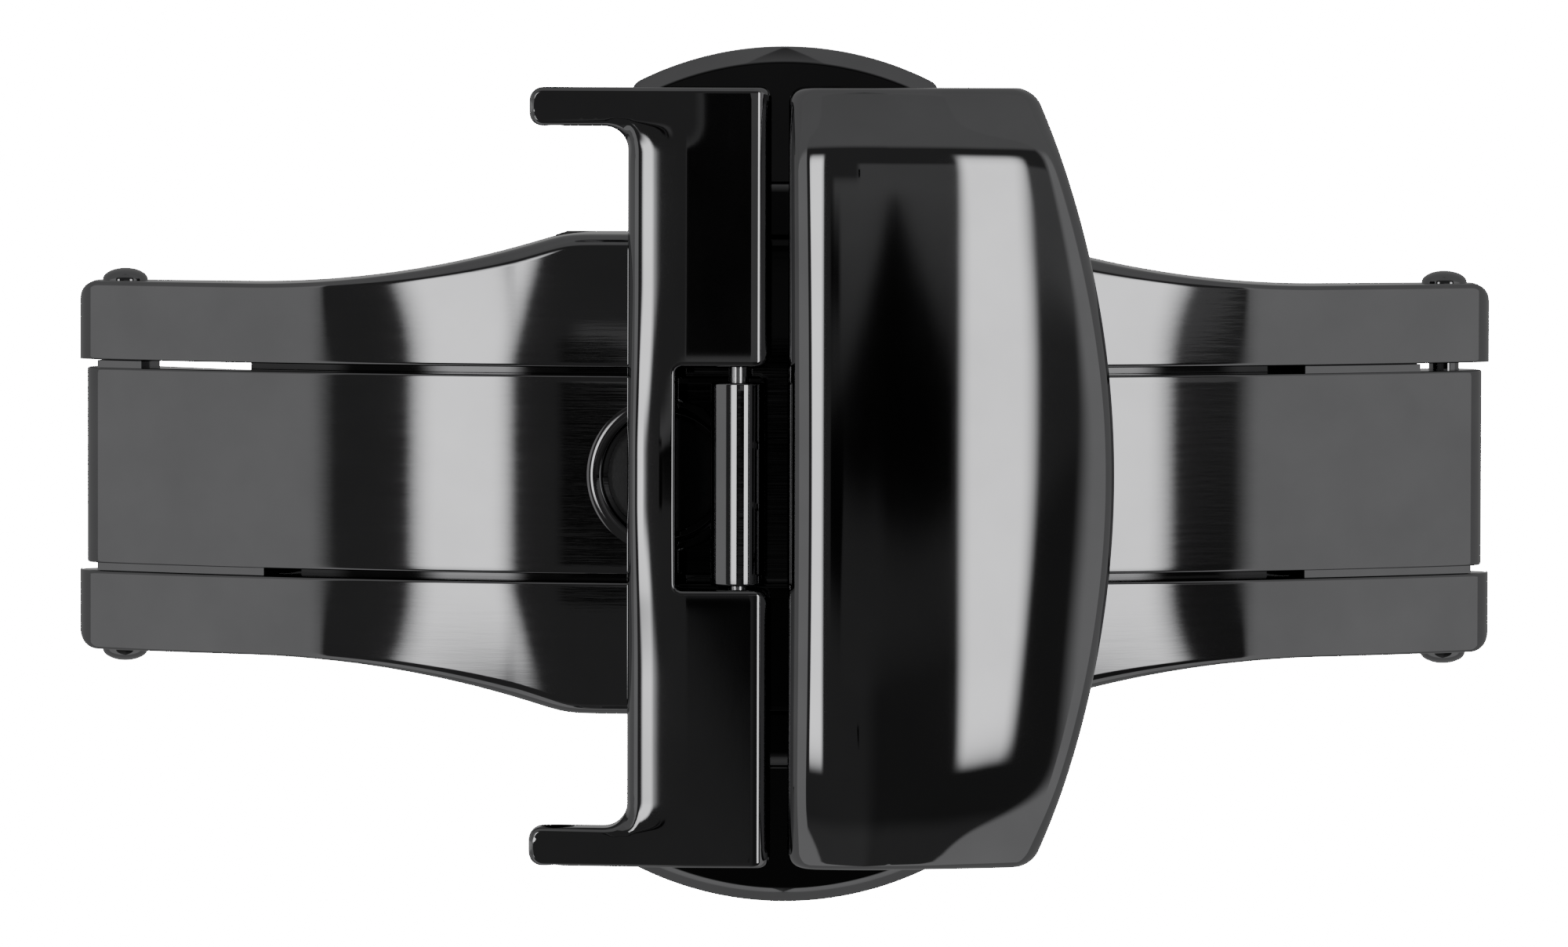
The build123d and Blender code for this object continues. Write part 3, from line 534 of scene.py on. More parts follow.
# %% Strap bracket
INNER_HALF = 9.05
OUTER_HALF = 10.05
BAR_CUT = 11.0  # half length of the cutters for the spring bars' holes
BRACKET_LOW = KNUCKLE_Z - 0.85
BRACKET_TOP = BRACKET_LOW + 1.7
BRACKET_LEFT, BRACKET_RIGHT = -4.05, -0.35
EAR_X, EAR_Z, EAR_TIP = 5.85, BRACKET_LOW + 0.4, 0.75
EAR_LEFT = -6.6
EAR_START = 2.66  # the ears start to slope here, left of the middle
NOTCH_HALF, NOTCH_LEFT = 2.87, -2.8
PIN_HALF = 0.85  # half height of the plate round its pin
EAR_SLOPE = np.tan(asin((0.85 - EAR_TIP) / 3.2) + atan2(0.45, 3.19))

# The section across the clasp as (x, lean in degrees): its left roll is wide near the ears and narrow
# beside the notch.
RIGHT_ROLL = [(-0.84, 1.8), (-0.7, -12), (-0.64, -20), (-0.5, -40), (-0.42, -60), (-0.35, -78)]
LEFT_EDGE = [(-4.06, 80), (-4.0, 74)]
WIDE_ROLL = lean_table(LEFT_EDGE + [
    (-3.9, 56), (-3.84, 34), (-3.75, 19.6), (-3.4, 13.3), (-2.74, 11.6), (-2.56, 1.8)] + RIGHT_ROLL)
NARROW_ROLL = lean_table(LEFT_EDGE + [
    (-3.95, 56), (-3.9, 34), (-3.83, 19.6), (-3.64, 13.3), (-3.22, 11.6), (-3.06, 1.8)] + RIGHT_ROLL)


def smooth(value, start, stop):
    """From 0 to 1 as the value goes from start to stop, without a kink at either end."""
    share = np.clip((value - start) / (stop - start), 0, 1)
    return share * share * (3 - 2 * share)


def past(value, soft):
    """Nothing below zero and the value itself above it, with a soft bend between."""
    return soft * np.logaddexp(0, value / soft)


def ear_round(x):
    """Half height of an ear, which is round about its bore at the tip."""
    return np.sqrt(np.clip(EAR_TIP ** 2 - np.clip(-EAR_X - x, 0, EAR_TIP) ** 2, 0, None))


def bracket_height(x, y):
    """Nearly flat, with a soft roll along both long edges; towards the ears it becomes their slope."""
    wide, narrow = (np.interp(x, places, rise - rise.max()) for places, rise in (WIDE_ROLL, NARROW_ROLL))
    near = 1 - smooth(np.abs(y), 0.6, 5.2)
    bend = 0.026 * past(np.abs(y) - 3.0, 0.12)
    crown = BRACKET_TOP + wide + (narrow - wide) * near - bend
    crown = crown - 0.16 * smooth(np.abs(y), INNER_HALF, 10.3) ** 2
    slope = crown_top(x) - bend - EAR_SLOPE * past(-EAR_START - x, 0.15)
    ear = np.where(x < 0.08 - EAR_X, np.minimum(slope, EAR_Z + ear_round(x)), slope)
    return crown + (ear - crown) * smooth(np.abs(y), 8.4, 9.2)


def crown_top(x):
    """The nearly flat part alone, carried on to the left for the ears."""
    places, rise = WIDE_ROLL
    return BRACKET_TOP - rise.max() + np.interp(np.maximum(x, -2.5), places, rise)


def bracket_under(x, y):
    """Flat, round about the pin on the right, and round under the tips of the ears."""
    knuckle = KNUCKLE_Z - np.sqrt(np.clip(PIN_HALF ** 2 - np.clip(x + KNUCKLE_X, 0, PIN_HALF) ** 2, 0, None))
    ear = np.interp(-x, (EAR_START, -BRACKET_LEFT, EAR_X), (BRACKET_LOW, BRACKET_LOW - 0.13, EAR_Z - EAR_TIP))
    ear = np.where(x < -EAR_X, EAR_Z - ear_round(x), ear)
    return np.where(x > -KNUCKLE_X, knuckle, np.where(np.abs(y) < INNER_HALF - 0.4, BRACKET_LOW, ear))


def bracket_outline():
    """Plan of the bracket, from the middle of its left edge, against the clock."""
    half = [(BRACKET_LEFT, -INNER_HALF, 0.6), (EAR_LEFT, -INNER_HALF, 0.35), (EAR_LEFT, -OUTER_HALF, 0.35),
            (BRACKET_RIGHT, -OUTER_HALF, 0.3), (BRACKET_RIGHT, -NOTCH_HALF, 0.4), (NOTCH_LEFT, -NOTCH_HALF, 0.15)]
    other = [(x, -y, r) for x, y, r in half[::-1]]
    return rounded_outline(half + other, 0.07)


def softened(values, reach):
    """A running mean along a closed outline, so that a rim changes its radius without a step."""
    kernel = np.ones(2 * reach + 1) / (2 * reach + 1)
    return np.convolve(np.concatenate([values[-reach:], values, values[:reach]]), kernel, "valid")


def bracket():
    """The plate, then the cuts for its pin and for the spring bar of the strap."""
    outline = bracket_outline()
    faces_x = outward(outline)[:, 0]
    x, y = outline[:, 0], np.abs(outline[:, 1])
    fine = ((faces_x < -0.9) & (y < 8.4) & (x < -3.9)) | ((faces_x > 0.9) & (y > 3.3) & (y < 9.7) & (x > -1))
    rim = softened(softened(np.where(fine, 0.06, 0.13), 4), 3)
    tip = -6.55 + 0.45 * (1 - np.cos(np.linspace(0, pi / 2, 9)))
    spans = ((-5.95, -4.1, 0.12), (-4.02, -3.6, 0.035), (-3.6, -2.4, 0.06), (-2.4, -1.05, 0.12), (-1.05, -0.38, 0.035))
    columns = np.concatenate([tip] + [np.arange(*span) for span in spans])
    half = np.concatenate([np.arange(0.05, 8.4, 0.15), np.arange(8.4, 9.96, 0.08)])
    rows = np.concatenate([-half[::-1], half])
    grid = np.stack(np.meshgrid(columns, rows, indexing="ij"), -1).reshape(-1, 2)
    made = make_piece("bracket_plate", plate(outline, bracket_height, bracket_under, rim, 0.08, 30, grid))
    return carve(made, [hole_tool(0.45, BAR_CUT, -EAR_X, EAR_Z), hole_tool(0.255, 3.9, -KNUCKLE_X, KNUCKLE_Z)])


bracket_plate = bracket()

# %% [markdown]
# The cover is a crowned shell. Its upper face is a drum along Y: a circle whose radius shrinks towards
# both ends, which gives the sloping end facets, with a soft crease between. The left edge rolls over
# gently, and the right edge swells in plan and sinks a little towards the corners. Because its
# reflections are long and calm, it is one regular grid, closer where the face turns over.

# %% Strap cover
COVER_R = 20.3
COVER_RISE = 2.548  # crown over the knuckles' middle
COVER_Z = KNUCKLE_Z + COVER_RISE - COVER_R
COVER_LEFT = 0.1
COVER_RIGHT = 6.4
COVER_BULGE = 2.1
COVER_CORNER = 0.42
HEEL = KNUCKLE_X - COVER_LEFT
FACET_Y = OUTER_HALF - 1.5
FACET_DROP = 0.7
SOFT_X, SOFT_R = 2.068, 4.6  # middle and radius of the left edge's gentle roll
GRID_LENGTH = 8.0  # the grid's columns are spread for this length, then stretched
ROOM_LEFT, ROOM_RIGHT = 0.6, 9.7
ROOM_LOW = 6.0
ROOF = 0.9  # thickness of the cover


def cover_edges(y):
    """Left and right edge of the plan in a row, with the small corner rounds."""
    radius = (OUTER_HALF ** 2 + COVER_BULGE ** 2) / (2 * COVER_BULGE)
    bow = COVER_RIGHT + COVER_BULGE - radius + np.sqrt(radius ** 2 - y ** 2)
    over = np.clip(np.abs(y) - (OUTER_HALF - COVER_CORNER), 0, COVER_CORNER)
    corner = COVER_CORNER - np.sqrt(COVER_CORNER ** 2 - over ** 2)
    return COVER_LEFT + corner, bow - corner


def cover_height(x, y, right):
    """Circle in X about the middle, sunk towards the ends, and rolled over on the left."""
    sunk = FACET_DROP * past(np.abs(y) - FACET_Y, np.where(y > 0, 0.18, 0.56))
    crown = COVER_Z + np.sqrt((COVER_R - sunk) ** 2 - np.square(x))
    soft_z = COVER_Z + sqrt((COVER_R - SOFT_R) ** 2 - SOFT_X ** 2)
    lap = np.clip(x, -1, SOFT_X + SOFT_X / (COVER_R - SOFT_R) * SOFT_R)
    soft = soft_z - sunk + np.sqrt(SOFT_R ** 2 - np.square(lap - SOFT_X))
    depth = right - x
    swell = 0.0055 * past(-y - 0.3, 1.0) + 0.0035 * past(y - 3.8, 0.8)
    fall = swell * past(2.4 - depth, 0.2)
    lip = 0.05 * smooth(y, 0, 8) * np.clip(1 - depth / 1.2, 0, 1) ** 3
    return np.where(x < lap + 1e-9, soft, crown) - fall - lip


def edge_steps(length, tight_a, tight_b, middle):
    """Places from 0 to 1 for a row: arcs' steps at both ends, even steps between."""
    arc = 1 - np.cos(np.linspace(0, pi / 2, 11))
    inner = np.linspace(0, 1, middle + 2)[1:-1]
    first, last = tight_a * arc / length, 1 - tight_b * arc[::-1] / length
    return np.concatenate([first, first[-1] + (last[0] - first[-1]) * inner, last])


def quarter(depth, radius):
    """How far a quarter round lies under its face, at a depth in from the edge."""
    return radius - np.sqrt(radius ** 2 - np.clip(radius - depth, 0, radius) ** 2)


def cover():
    """The outside, then the room for the strap, the notch of the knuckles and the bar's bore."""
    end_rim, left_rim, right_rim = 0.16, 0.55, 0.42
    y = (edge_steps(2 * OUTER_HALF, COVER_CORNER, COVER_CORNER, 150) * 2 - 1) * OUTER_HALF
    left, right = cover_edges(y)
    place = edge_steps(GRID_LENGTH, left_rim, right_rim, 110)
    x = left[:, None] + (right - left)[:, None] * place
    rows = np.broadcast_to(y[:, None], x.shape)
    grow = ((right - left) / GRID_LENGTH)[:, None]
    drop = quarter(x - left[:, None], left_rim * grow) + quarter(right[:, None] - x, right_rim * grow)
    drop = drop + quarter(OUTER_HALF - np.abs(rows), end_rim)
    top = cover_height(x, rows, right[:, None]) - drop
    heel = KNUCKLE_Z - np.sqrt(np.clip(HEEL ** 2 - np.clip(KNUCKLE_X - x, 0, HEEL) ** 2, 0, None))
    upper, lower = np.stack([x, rows, top], axis=-1), np.stack([x, rows, heel], axis=-1)
    rim = [np.concatenate([side[0], side[1:, -1], side[-1, -2::-1], side[-2:0:-1, 0]]) for side in (upper, lower)]
    made = make_piece("cover_shell", [shell(upper), shell(lower), shell(np.stack(rim), wrap_columns=True)])
    heel_room = box_shell(-0.5, 1.6, -INNER_HALF, INNER_HALF, ROOM_LOW, KNUCKLE_Z - 0.4)
    notch = box_shell(-0.5, 1.6, -2.9, 2.9, ROOM_LOW, KNUCKLE_Z + 1.0)
    bar_hole = hole_tool(0.3, BAR_CUT, KNUCKLE_X, KNUCKLE_Z)
    return carve(made, [as_shell(strap_room()), heel_room, notch, bar_hole])


def strap_room():
    """The room under the cover: its roof follows the crown, its sides leave the end walls."""
    corners = ((ROOM_LEFT, INNER_HALF), (ROOM_LEFT, -INNER_HALF), (ROOM_RIGHT, -INNER_HALF), (ROOM_RIGHT, INNER_HALF))
    room = rounded_outline([(*corner, 0) for corner in corners], 0.3)
    base = flat_face(ROOM_LOW)

    def roof(x, y):
        return COVER_Z + np.sqrt((COVER_R - ROOF) ** 2 - x ** 2)

    wall = np.stack([np.column_stack([room, face(*room.T)]) for face in (roof, base)])
    return make_piece("room", [cap(room, roof, 0.4), shell(wall, wrap_columns=True), cap(room, base, 3.0)])


cover_shell = cover()

# %% [markdown]
# A push button is a pad with an arched end and bevelled edges. Behind it, in one piece, is the slide
# that holds an arm's stud in its keyhole. The front one is the rear one turned half round.

# %% Push buttons
SLIDE_LOW, SLIDE_HIGH = WRIST_TOP + 0.7, POCKET_TOP - 0.05
SLIDE_MID = (SLIDE_LOW + SLIDE_HIGH) / 2
SPRING_X, SPRING_END = 2.4, BODY_HALF - 0.1
PAD_HALF, PAD_INNER, PAD_TIP, PAD_BOW = 3.95, BODY_HALF + 1.3, 11.09, 8.5
PAD_BEVEL = 0.42
TRAVEL = 1.15
STUD_HEAD, STUD_NECK = 1.05, 0.6  # half widths of the keyhole's two parts
TOOL_LOW, TOOL_HIGH = 3.0, 7.0


def box_loop(x_low, x_high, y_low, y_high, low_round, high_round, step):
    """A rectangle with one radius for its two corners at the lower y and one for the others."""
    corners = ((x_low, y_low, low_round), (x_high, y_low, low_round),
               (x_high, y_high, high_round), (x_low, y_high, high_round))
    return rounded_outline(corners, step)


def pad_outline():
    """Plan of a pad: an arc between two rounded corners, and a straight inner edge."""
    x = np.linspace(PAD_HALF, -PAD_HALF, 41)
    arc = PAD_TIP - PAD_BOW + np.sqrt(PAD_BOW ** 2 - x ** 2)
    bowed = [(a, b, 0.25 if abs(a) == PAD_HALF else 0) for a, b in zip(x, arc)]
    return rounded_outline([(PAD_HALF, PAD_INNER, 0.1)] + bowed + [(-PAD_HALF, PAD_INNER, 0.1)], 0.1)


def button(name, way):
    """Pad, neck and slide as plates, then the keyhole and the rooms for the springs."""
    turn = np.array((way, way, 1.0))
    outline = pad_outline()
    rim = softened(np.where(outline[:, 1] > PAD_INNER + 0.2, PAD_BEVEL, 0.08), 3)
    neck = box_loop(-3.5, 3.5, 4.2, 7.6, 0.05, 0.05, 0.2)
    slide = box_loop(-4.75, -0.15, -1.5, POCKET_Y - 0.1, 0.1, 0.1, 0.15)
    plates = (plate(outline, ARCH_TOP - 0.32, WRIST_TOP + 0.32, rim, rim, 0.5, rim=BEVEL_RIM),
              plate(neck, SLIDE_HIGH, SLIDE_LOW, 0.04, 0.04, 1.0),
              plate(slide, SLIDE_HIGH - 0.001, SLIDE_LOW + 0.001, 0.04, 0.04, 1.0))
    pad, neck, slide = (make_piece("part", [(np.asarray(p) * turn, f) for p, f in shells]) for shells in plates)
    head, throat, stud = STUD_HEAD, STUD_NECK, -STUD_X
    free = box_loop(stud - 0.3 - head, stud + head, TRAVEL - head, TRAVEL + head, head * 0.999, head * 0.999, 0.08)
    hold = box_loop(stud - throat, stud + throat, -throat, TRAVEL, throat * 0.99, 0, 0.08)
    under = box_loop(stud - head, stud + head, -head, TRAVEL, head * 0.99, 0, 0.08)
    keyhole = []
    for loop, high in ((free, TOOL_HIGH), (hold, TOOL_HIGH), (under, SLIDE_HIGH - 0.5)):
        points, cells = prism(loop, TOOL_LOW, high)
        keyhole.append((points * turn, cells))
    rooms = []
    for x, low in ((-SPRING_X, 2.6), (SPRING_X, 3.2)):
        ends = sorted((way * (x - 0.7), way * (x + 0.7))) + sorted((way * low, way * SPRING_END))
        rooms.append(box_shell(*ends, TOOL_LOW, TOOL_HIGH))
    return joined(name, [pad, carve(neck, rooms), carve(slide, keyhole + rooms)])


rear_pad = button("rear_pad", 1)
front_pad = button("front_pad", -1)

# %% [markdown]
# The springs are drawn wire. A spring is a small circle carried along a helix, so its surface has two
# parameters: the way along the helix and the way round the wire. When a button is pressed, its springs
# get shorter.

# %% Springs
def spring(name, x, z, start, stop, radius, wire, turns):
    """A tube round a helix along Y, drawn to a point at both ends."""
    way = 1 if stop > start else -1
    t = np.linspace(0, 1, int(turns * 28))
    angle = 2 * pi * turns * t
    y = start + way * wire + (stop - start - 2 * way * wire) * t
    centre = np.column_stack([x + radius * np.cos(angle), y, z + radius * np.sin(angle)])
    along = np.gradient(centre, axis=0)
    along /= np.linalg.norm(along, axis=1)[:, None]
    out = np.column_stack([np.cos(angle), 0 * angle, np.sin(angle)])
    side = np.cross(along, out)
    around = np.linspace(0, 2 * pi, 10, endpoint=False)
    size = np.full(len(t), wire)
    size[0] = size[-1] = 0
    ring = out[:, None] * np.cos(around)[None, :, None] + side[:, None] * np.sin(around)[None, :, None]
    return make_piece(name, [shell(centre[:, None] + ring * size[:, None, None], wrap_columns=True)])


SPRING_FOOT = 3.05  # the face of the frame's post, on which a spring stands
springs = {}
for row, way in (("rear", 1), ("front", -1)):
    for column, side in (("left", -1), ("right", 1)):
        springs[row, column] = spring(f"{row}_{column}_return_spring", side * SPRING_X, SLIDE_MID,
                                      way * SPRING_FOOT, way * SPRING_END, 0.49, 0.11, 4.25)


def pin(name, side):
    """A hinge pin with a domed head at each end, turned on a lathe."""
    foot, head, shaft = RAIL_HALF - 0.04, 0.6, 0.4
    dome = [(head * sin(a), foot + 0.06 + 0.31 * cos(a)) for a in np.linspace(0, pi / 2, 10)]
    half = dome + [(head, foot), (shaft, foot)]
    profile = half + [(radius, -along) for radius, along in half[::-1]]
    return make_piece(name, [turned(profile, (side * HINGE_X, 0, HINGE_Z), count=48)])


pins = {-1: pin("left_pin", -1), 1: pin("right_pin", 1)}
bar_spring = spring("bar_spring", KNUCKLE_X, KNUCKLE_Z, -6.0, 6.0, 0.2, 0.05, 24)

# %% [markdown]
# The finishes are steel under a thin black coat. Black coats on steel stay metallic: the reflections
# keep the colour of the light and only lose strength. So every finish is a Principled shader that is
# fully metallic, with a dark base. What tells them apart is the roughness and how the last abrasive
# left its mark: the polished faces show only faint wipe marks, the brushed ones fine lines along the
# clasp, the blasted ones a matte grain. Where the closed clasp shades a face, the shade is painted: the
# base colour is darkened there, and the pads' top flats get a painted dark reflection.

# %% Shader maths
class Reading:
    """A value somewhere over a surface. Python arithmetic on it adds Math nodes."""

    def __init__(self, recipe, socket):
        self.recipe, self.socket = recipe, socket

    def math(self, operation, *others):
        return self.recipe.node("Math", {"operation": operation}, [self, *others])

    def __add__(self, other): return self.math("ADD", other)
    def __sub__(self, other): return self.math("SUBTRACT", other)
    def __mul__(self, other): return self.math("MULTIPLY", other)
    def __truediv__(self, other): return self.math("DIVIDE", other)
    def __rsub__(self, other): return self.recipe.node("Math", {"operation": "SUBTRACT"}, [other, self])
    __radd__, __rmul__ = __add__, __mul__


class Recipe:
    """A node tree. node() takes a node's type, its settings, and the values or readings of its sockets."""

    def __init__(self, tree):
        self.tree = tree
        tree.nodes.clear()

    def node(self, kind, settings=None, values=(), out=0):
        made = self.tree.nodes.new("ShaderNode" + kind)
        for key, value in (settings or {}).items():
            setattr(made, key, value)
        pairs = values.items() if isinstance(values, dict) else enumerate(values)
        for key, value in pairs:
            if isinstance(value, Reading):
                self.tree.links.new(value.socket, made.inputs[key])
            else:
                made.inputs[key].default_value = value
        return Reading(self, made.outputs[out] if len(made.outputs) else None)

# %% Finishes
TONE_DRIFT = 0.12  # how much the coat's tone varies


def painted_shade(recipe, place, zone):
    """Painted shade, 1 where it falls on a face of this zone and 0 elsewhere: where the closed clasp
    shades the face, and a painted dark reflection on the pads' top flats. Heights are from the arch's top.
    """
    x, y, z = (recipe.node("SeparateXYZ", {}, [place], out=k) / MM for k in range(3))
    x, y, z = x.math("ABSOLUTE"), y.math("ABSOLUTE"), z - ARCH_TOP

    def ramp(value, start, stop):
        return recipe.node("MapRange", {}, [value, start, stop, 0.0, 1.0])

    # The catch stud: painted shade where it lies in the notch between bracket and cover.
    if zone == "stud":
        return 1 - ramp(x, 2.7, 2.9)
    # The pad: painted shade on the neck and slide inside the frame, and a painted dark reflection on its top flat.
    if zone == "pad":
        return (1 - ramp(y, 7.3, 7.5)).math("MAXIMUM", ramp(z, -0.36, -0.33) * 0.9)
    # The frame and arms: painted shade on the faces sunk 0.1 to 1.5 mm under the arch between the rails, and on the
    # middle that the bracket and cover hide.
    up = z + ARCH_RADIUS
    depth = ARCH_RADIUS - (x * x + up * up).math("SQRT")
    walls = ramp(depth, 0.1, 0.16) * (1 - ramp(depth, 1.3, 1.5))
    walls = walls * (1 - ramp(y, 2.85, 2.95)) * (1 - ramp(x, 16.2, 16.4))
    middle = (1 - ramp(x, 2.7, 2.9)) * (1 - ramp(z, 0.1, 0.2)) * ramp(z, -0.6, -0.3)
    return middle.math("MAXIMUM", walls * 0.8)


def steel(name, base, roughness, stretch, mark, relief, shade_zone=None):
    """Coated steel. Stretch squeezes the noise that draws the marks of the last abrasive: mark is how much
    they change the roughness, relief how deep they are in millimetres. The last argument names a zone in
    which shade is painted by darkening the base colour."""
    finish = bpy.data.materials.new(name)
    finish.use_nodes = True
    recipe = Recipe(finish.node_tree)
    place = recipe.node("TexCoord", out=3)
    marks_place = recipe.node("Mapping", {}, {"Vector": place, "Scale": stretch})
    marks = recipe.node("TexNoise", {}, {"Vector": marks_place, "Scale": 1.0, "Detail": 4.0, "Roughness": 0.6})
    wipes = recipe.node("TexNoise", {}, {"Vector": place, "Scale": 420.0, "Detail": 3.0, "Roughness": 0.55})
    shade = wipes * (base * TONE_DRIFT * 2) + base * (1 - TONE_DRIFT)
    # Painted shade: in the named zone the base colour is darkened to as little as a tenth.
    if shade_zone:
        shade = shade * (1 - painted_shade(recipe, place, shade_zone) * 0.9)
    tone = recipe.node("CombineColor", {}, [shade, shade, shade * 1.02])
    gloss = marks * (2 * mark) + wipes * mark + (roughness - 1.5 * mark)
    bump = recipe.node("Bump", {}, {"Strength": 1.0, "Distance": relief * MM, "Height": marks})
    shader = recipe.node("BsdfPrincipled", {}, {
        "Base Color": tone, "Metallic": 1.0, "Roughness": gloss, "Normal": bump})
    recipe.node("OutputMaterial", {}, {"Surface": shader})
    return finish


polish = (0.23, 0.04, (900.0, 240.0, 900.0), 0.008, 0.0001)
polished = steel("polished_black", *polish)
# Painted shade: the pads', the frame's and arms', and the studs' finishes darken their base colour in their zones.
pad_polish_painted_dark = steel("polished_pad_black_painted_dark", *polish, shade_zone="pad")
brushed = steel("brushed_black_painted_shade", 0.23, 0.05, (90.0, 6500.0, 1600.0), 0.016, 0.0009, shade_zone="middle")
blasted = steel("blasted_black_painted_shade", 0.20, 0.36, (9000.0, 9000.0, 9000.0), 0.05, 0.003, shade_zone="stud")
bare = steel("bare_steel", 0.55, 0.22, (500.0, 3000.0, 3000.0), 0.03, 0.0006)
print("finishes:", [m.name for m in (polished, pad_polish_painted_dark, brushed, blasted, bare)])

# %% [markdown]
# Each new piece now takes its place in the model: it stands for its node, moves with its body and has
# its finish. The nodes whose solids already look right keep their shape and only get the finish.

# %% Seat every piece
def seat(piece, finish, slot, body, *nodes):
    """Finish, body, the node that it stands for and the record's slot, which is not used."""
    piece.data.materials.clear()
    piece.data.materials.append(finish)
    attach(piece, body)
    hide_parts(*nodes)


seat(bowed_frame, brushed, "black_brushed_steel", "frame", "base_frame")
for blade, body in ((left_blade, "left_arm"), (right_blade, "right_arm")):
    seat(blade, brushed, "black_brushed_steel", body, body)
for plated, finish, body in ((bracket_plate, polished, "strap_bracket"), (cover_shell, polished, "strap_cover"),
                             (rear_pad, pad_polish_painted_dark, "rear_button"), (front_pad, pad_polish_painted_dark, "front_button")):
    seat(plated, finish, "black_polished_steel", body, body)
seat(bar_spring, bare, "bare_spring_steel", "right_arm", "spring_bar_spring")
for (row, column), coil in springs.items():
    seat(coil, bare, "bare_spring_steel", "frame", f"{row}_spring_{column}")
    way = 1 if row == "rear" else -1
    foot = (0, way * SPRING_FOOT * MM, SLIDE_MID * MM)
    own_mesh(coil)
for side, name in ((-1, "left"), (1, "right")):
    seat(pins[side], polished, "black_polished_steel", "frame", f"{name}_hinge_pin")

kept = {polished: ("back_plate", "back_plate_screws", "strap_tongue"),
        blasted: ("left_catch_stud", "right_catch_stud"),
        bare: ("bracket_pin", "spring_bar_tube", "spring_bar_rear_tip", "spring_bar_front_tip")}
for finish, nodes in kept.items():
    for node in nodes:
        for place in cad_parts[node].material_slots:
            place.material = finish
print("kept nodes:", sum(map(len, kept.values())))

# %% [markdown]
# The studio. Polished black steel shows its surroundings and nothing else, so the light is drawn as the
# clasp sees it: two soft boxes beyond its ends, a grey horizon behind them, a grey wall at the rear, and
# a dim ceiling with one paler screen and some dark patches. The world's shader works it out from the
# direction alone, as two angles from straight up, in degrees. The floor glows a little, as a light
# table does. The camera itself sees the world and the floor as bright white paper.

# %% Studio
BOX_LIGHT, HORIZON_LIGHT, REAR_LIGHT = 4.1, 0.48, 0.27
CEILING_LIGHT, SCREEN_LIGHT = 0.066, 0.115
PAPER_LIGHT, CARD_LIGHT = 20.0, 0.25


def studio():
    """Brightness by direction, as bands of two angles: along the clasp and across it."""
    world = bpy.data.worlds.new("studio")
    world.use_nodes = True
    bpy.context.scene.world = world
    recipe = Recipe(world.node_tree)
    direction = recipe.node("TexCoord", out=0)
    x, y, z = (recipe.node("SeparateXYZ", {}, [direction], out=k) for k in range(3))
    along, across = (way.math("ARCTAN2", z) * (180 / pi) for way in (x, y))

    def step(value, start, stop):
        """Goes softly from 0 to 1 as the value goes from start to stop."""
        return recipe.node("MapRange", {"interpolation_type": "SMOOTHSTEP"}, [value, start, stop, 0.0, 1.0])

    def band(value, start, full, fade, stop):
        """Goes softly up from start to full, and down again from fade to stop."""
        return step(value, start, full) * (1 - step(value, fade, stop))

    wide = along.math("ABSOLUTE")
    left = 1 - step(along, -1.0, 1.0)
    boxes = step(wide - left * 0.5, 25.6, 28.4) * (1 - step(wide + left * 1.4, 35.9, 39.5))
    boxes = boxes * band(across, -17.0, -5.0, 6.0, 26.0)
    horizon = step(wide, 44.3, 48.0) * (1 - 0.7 * step(wide, 84.0, 115.0)) * (1 - 0.4 * step(across, 20.0, 45.0))
    rear = step(across, 30.0, 46.0) * (1 - 0.7 * step(across, 78.0, 92.0))
    screen = step(along, -22.0, -19.0) * band(across, -2.3, -1.0, 5.0, 9.0)
    screen = screen * (1 - step(across, -0.9, 0.7) * (1 - step(along, -6.5, -2.6)))
    fall = 0.031 * (1 - step(across, -4.0, -3.3)) * step(along, -2.5, 12.0)
    ceiling = CEILING_LIGHT + screen * SCREEN_LIGHT - fall + 0.04 * (1 - step(across, -62.0, -45.0))
    # Dark patches of the ceiling: a long wedge, the strip over its left end, and a slot in two parts.
    low_edge = across + 2.65 + 0.35 * step(along, 5.0, 22.0) + 0.65 * (1 - step(along, -16.0, -13.0))
    bend = along - 16.7
    high_edge = bend.math("MINIMUM", 0.0) * 0.03 - bend.math("MAXIMUM", 0.0) * 0.11 - 1.2
    wedge = (1 - step(across - high_edge, -0.08, 0.12)) * step(low_edge, -0.12, 0.12)
    wedge = wedge * band(along, -22.6, -21.4, 24.8, 26.0)
    over = band(across, -1.95, -1.7, -1.45, -1.2) * band(along, -23.2, -21.4, -18.0, -14.5)
    slant = (along + 4.09) * -2.3 - 6.08
    slot = step(across - slant, -0.1, 0.1) * (1 - step(across, -5.2, -5.0)) + band(across, 0.2, 0.4, 2.6, 3.2)
    slot = slot * band(along, -4.6, -4.3, -3.5, -3.2)
    dark = wedge.math("MAXIMUM", over).math("MAXIMUM", slot)
    shown = ceiling * (1 - dark) + 0.003 + boxes * BOX_LIGHT
    shown = shown.math("MAXIMUM", horizon * HORIZON_LIGHT).math("MAXIMUM", rear * REAR_LIGHT)
    seen, spread = (recipe.node("LightPath", out=ray) for ray in ("Is Camera Ray", "Is Diffuse Ray"))
    shown = shown * (1 - seen) * (1 - spread) + seen * PAPER_LIGHT + spread
    colour = recipe.node("CombineColor", {}, [shown, shown, shown])
    shine = recipe.node("Background", {}, {"Color": colour, "Strength": 1.0})
    recipe.node("OutputWorld", {}, {"Surface": shine})


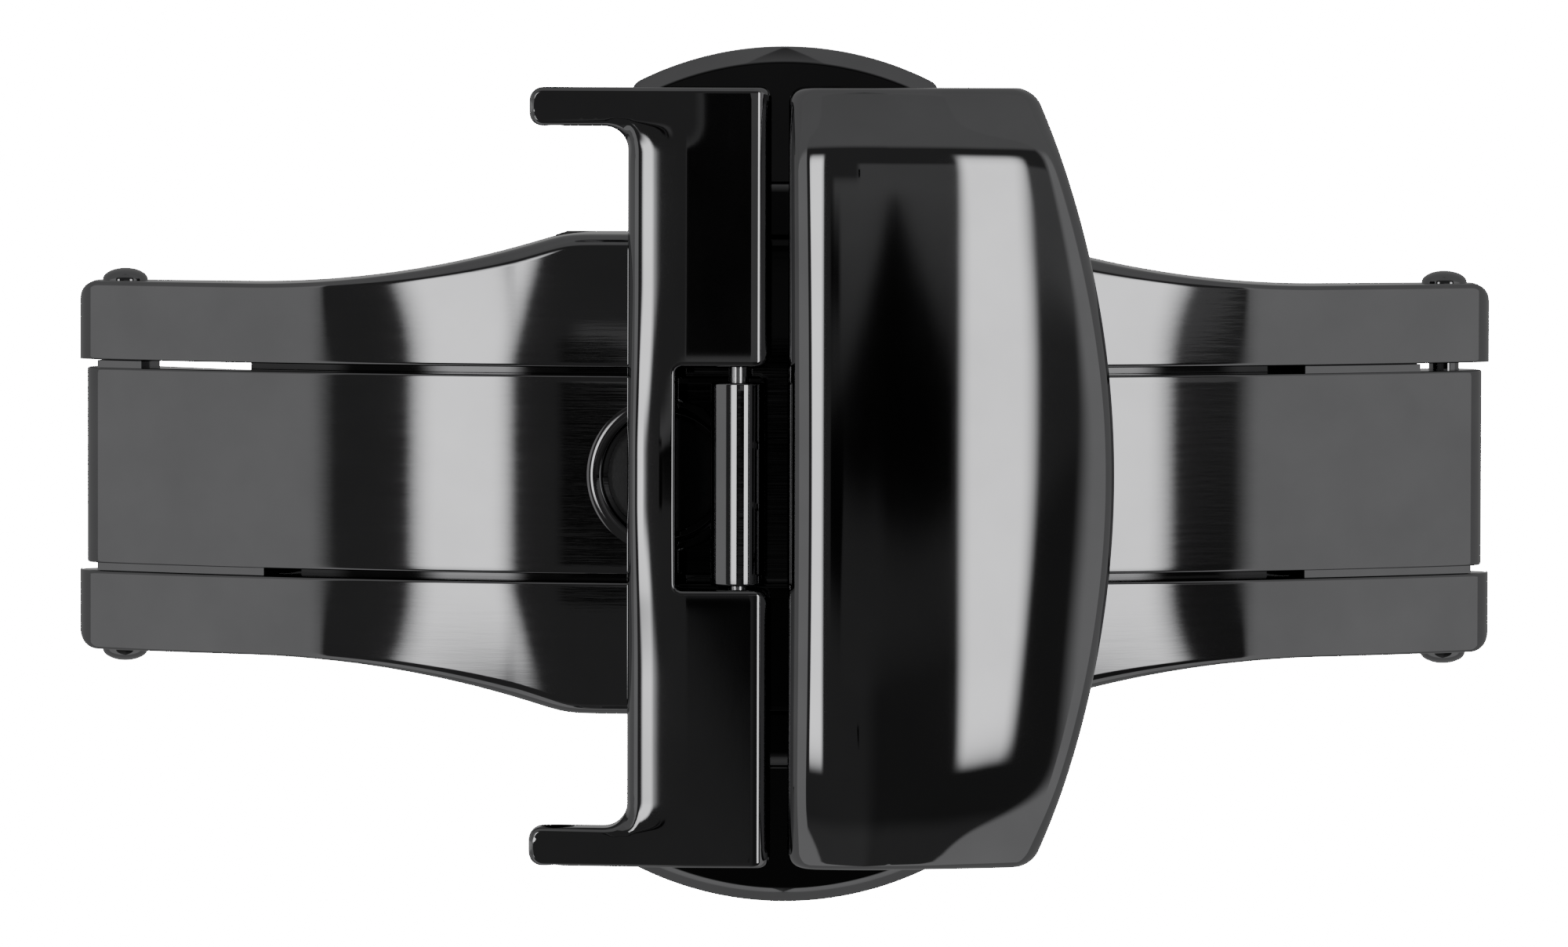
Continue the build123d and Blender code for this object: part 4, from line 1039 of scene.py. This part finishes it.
def pale_floor(reach=1.5, gap=0.03):
    """A card of this reach in metres, with this gap in millimetres under the clasp."""
    mesh = bpy.data.meshes.new("pale_floor")
    corners = [(x * reach, y * reach, 0) for x, y in ((-1, -1), (1, -1), (1, 1), (-1, 1))]
    mesh.from_pydata(corners, [], [range(4)])
    card = bpy.data.objects.new("pale_floor", mesh)
    card.location.z = -gap * MM
    bpy.context.scene.collection.objects.link(card)
    finish = bpy.data.materials.new("pale_floor")
    finish.use_nodes = True
    recipe = Recipe(finish.node_tree)
    white = (1, 1, 1, 1)
    matte = recipe.node("BsdfPrincipled", {}, {
        "Base Color": (0.03, 0.03, 0.03, 1), "Roughness": 0.9, "Specular IOR Level": 0.0,
        "Emission Color": white, "Emission Strength": CARD_LIGHT})
    paper = recipe.node("Emission", {}, {"Color": white, "Strength": PAPER_LIGHT})
    seen = recipe.node("LightPath", out="Is Camera Ray")
    surface = recipe.node("MixShader", {}, {0: seen, 1: matte, 2: paper})
    recipe.node("OutputMaterial", {}, {"Surface": surface})
    mesh.materials.append(finish)
    return card


studio()
pale_floor()

# %% [markdown]
# The camera looks almost straight down from about 300 mm, leaning a little to the rear. From so near,
# what lies higher looks larger, which is why the plates seem wider than the rails.

# %% Camera
LEAN = radians(2.5)
ROLL = radians(0.13)
REACH = 303.0
AIM_Z = 6.7
PIXELS_PER_MM, SCALE_Z = 49.45, 8.0  # the photograph's scale, and the height where it holds
SHIFT_X, SHIFT_Y = -0.04, 0.03
IMAGE_WIDTH = 2000
optics = bpy.data.cameras.new("camera")
optics.sensor_width = 36.0
optics.lens = PIXELS_PER_MM * (REACH * cos(LEAN) + AIM_Z - SCALE_Z) * optics.sensor_width / IMAGE_WIDTH
camera = bpy.data.objects.new("camera", optics)
camera.location = (SHIFT_X * MM, (SHIFT_Y + REACH * sin(LEAN)) * MM, (AIM_Z + REACH * cos(LEAN)) * MM)
camera.rotation_euler = (-LEAN, 0, ROLL)
bpy.context.scene.collection.objects.link(camera)
bpy.context.scene.camera = camera
print("lens", round(optics.lens, 1), "mm")
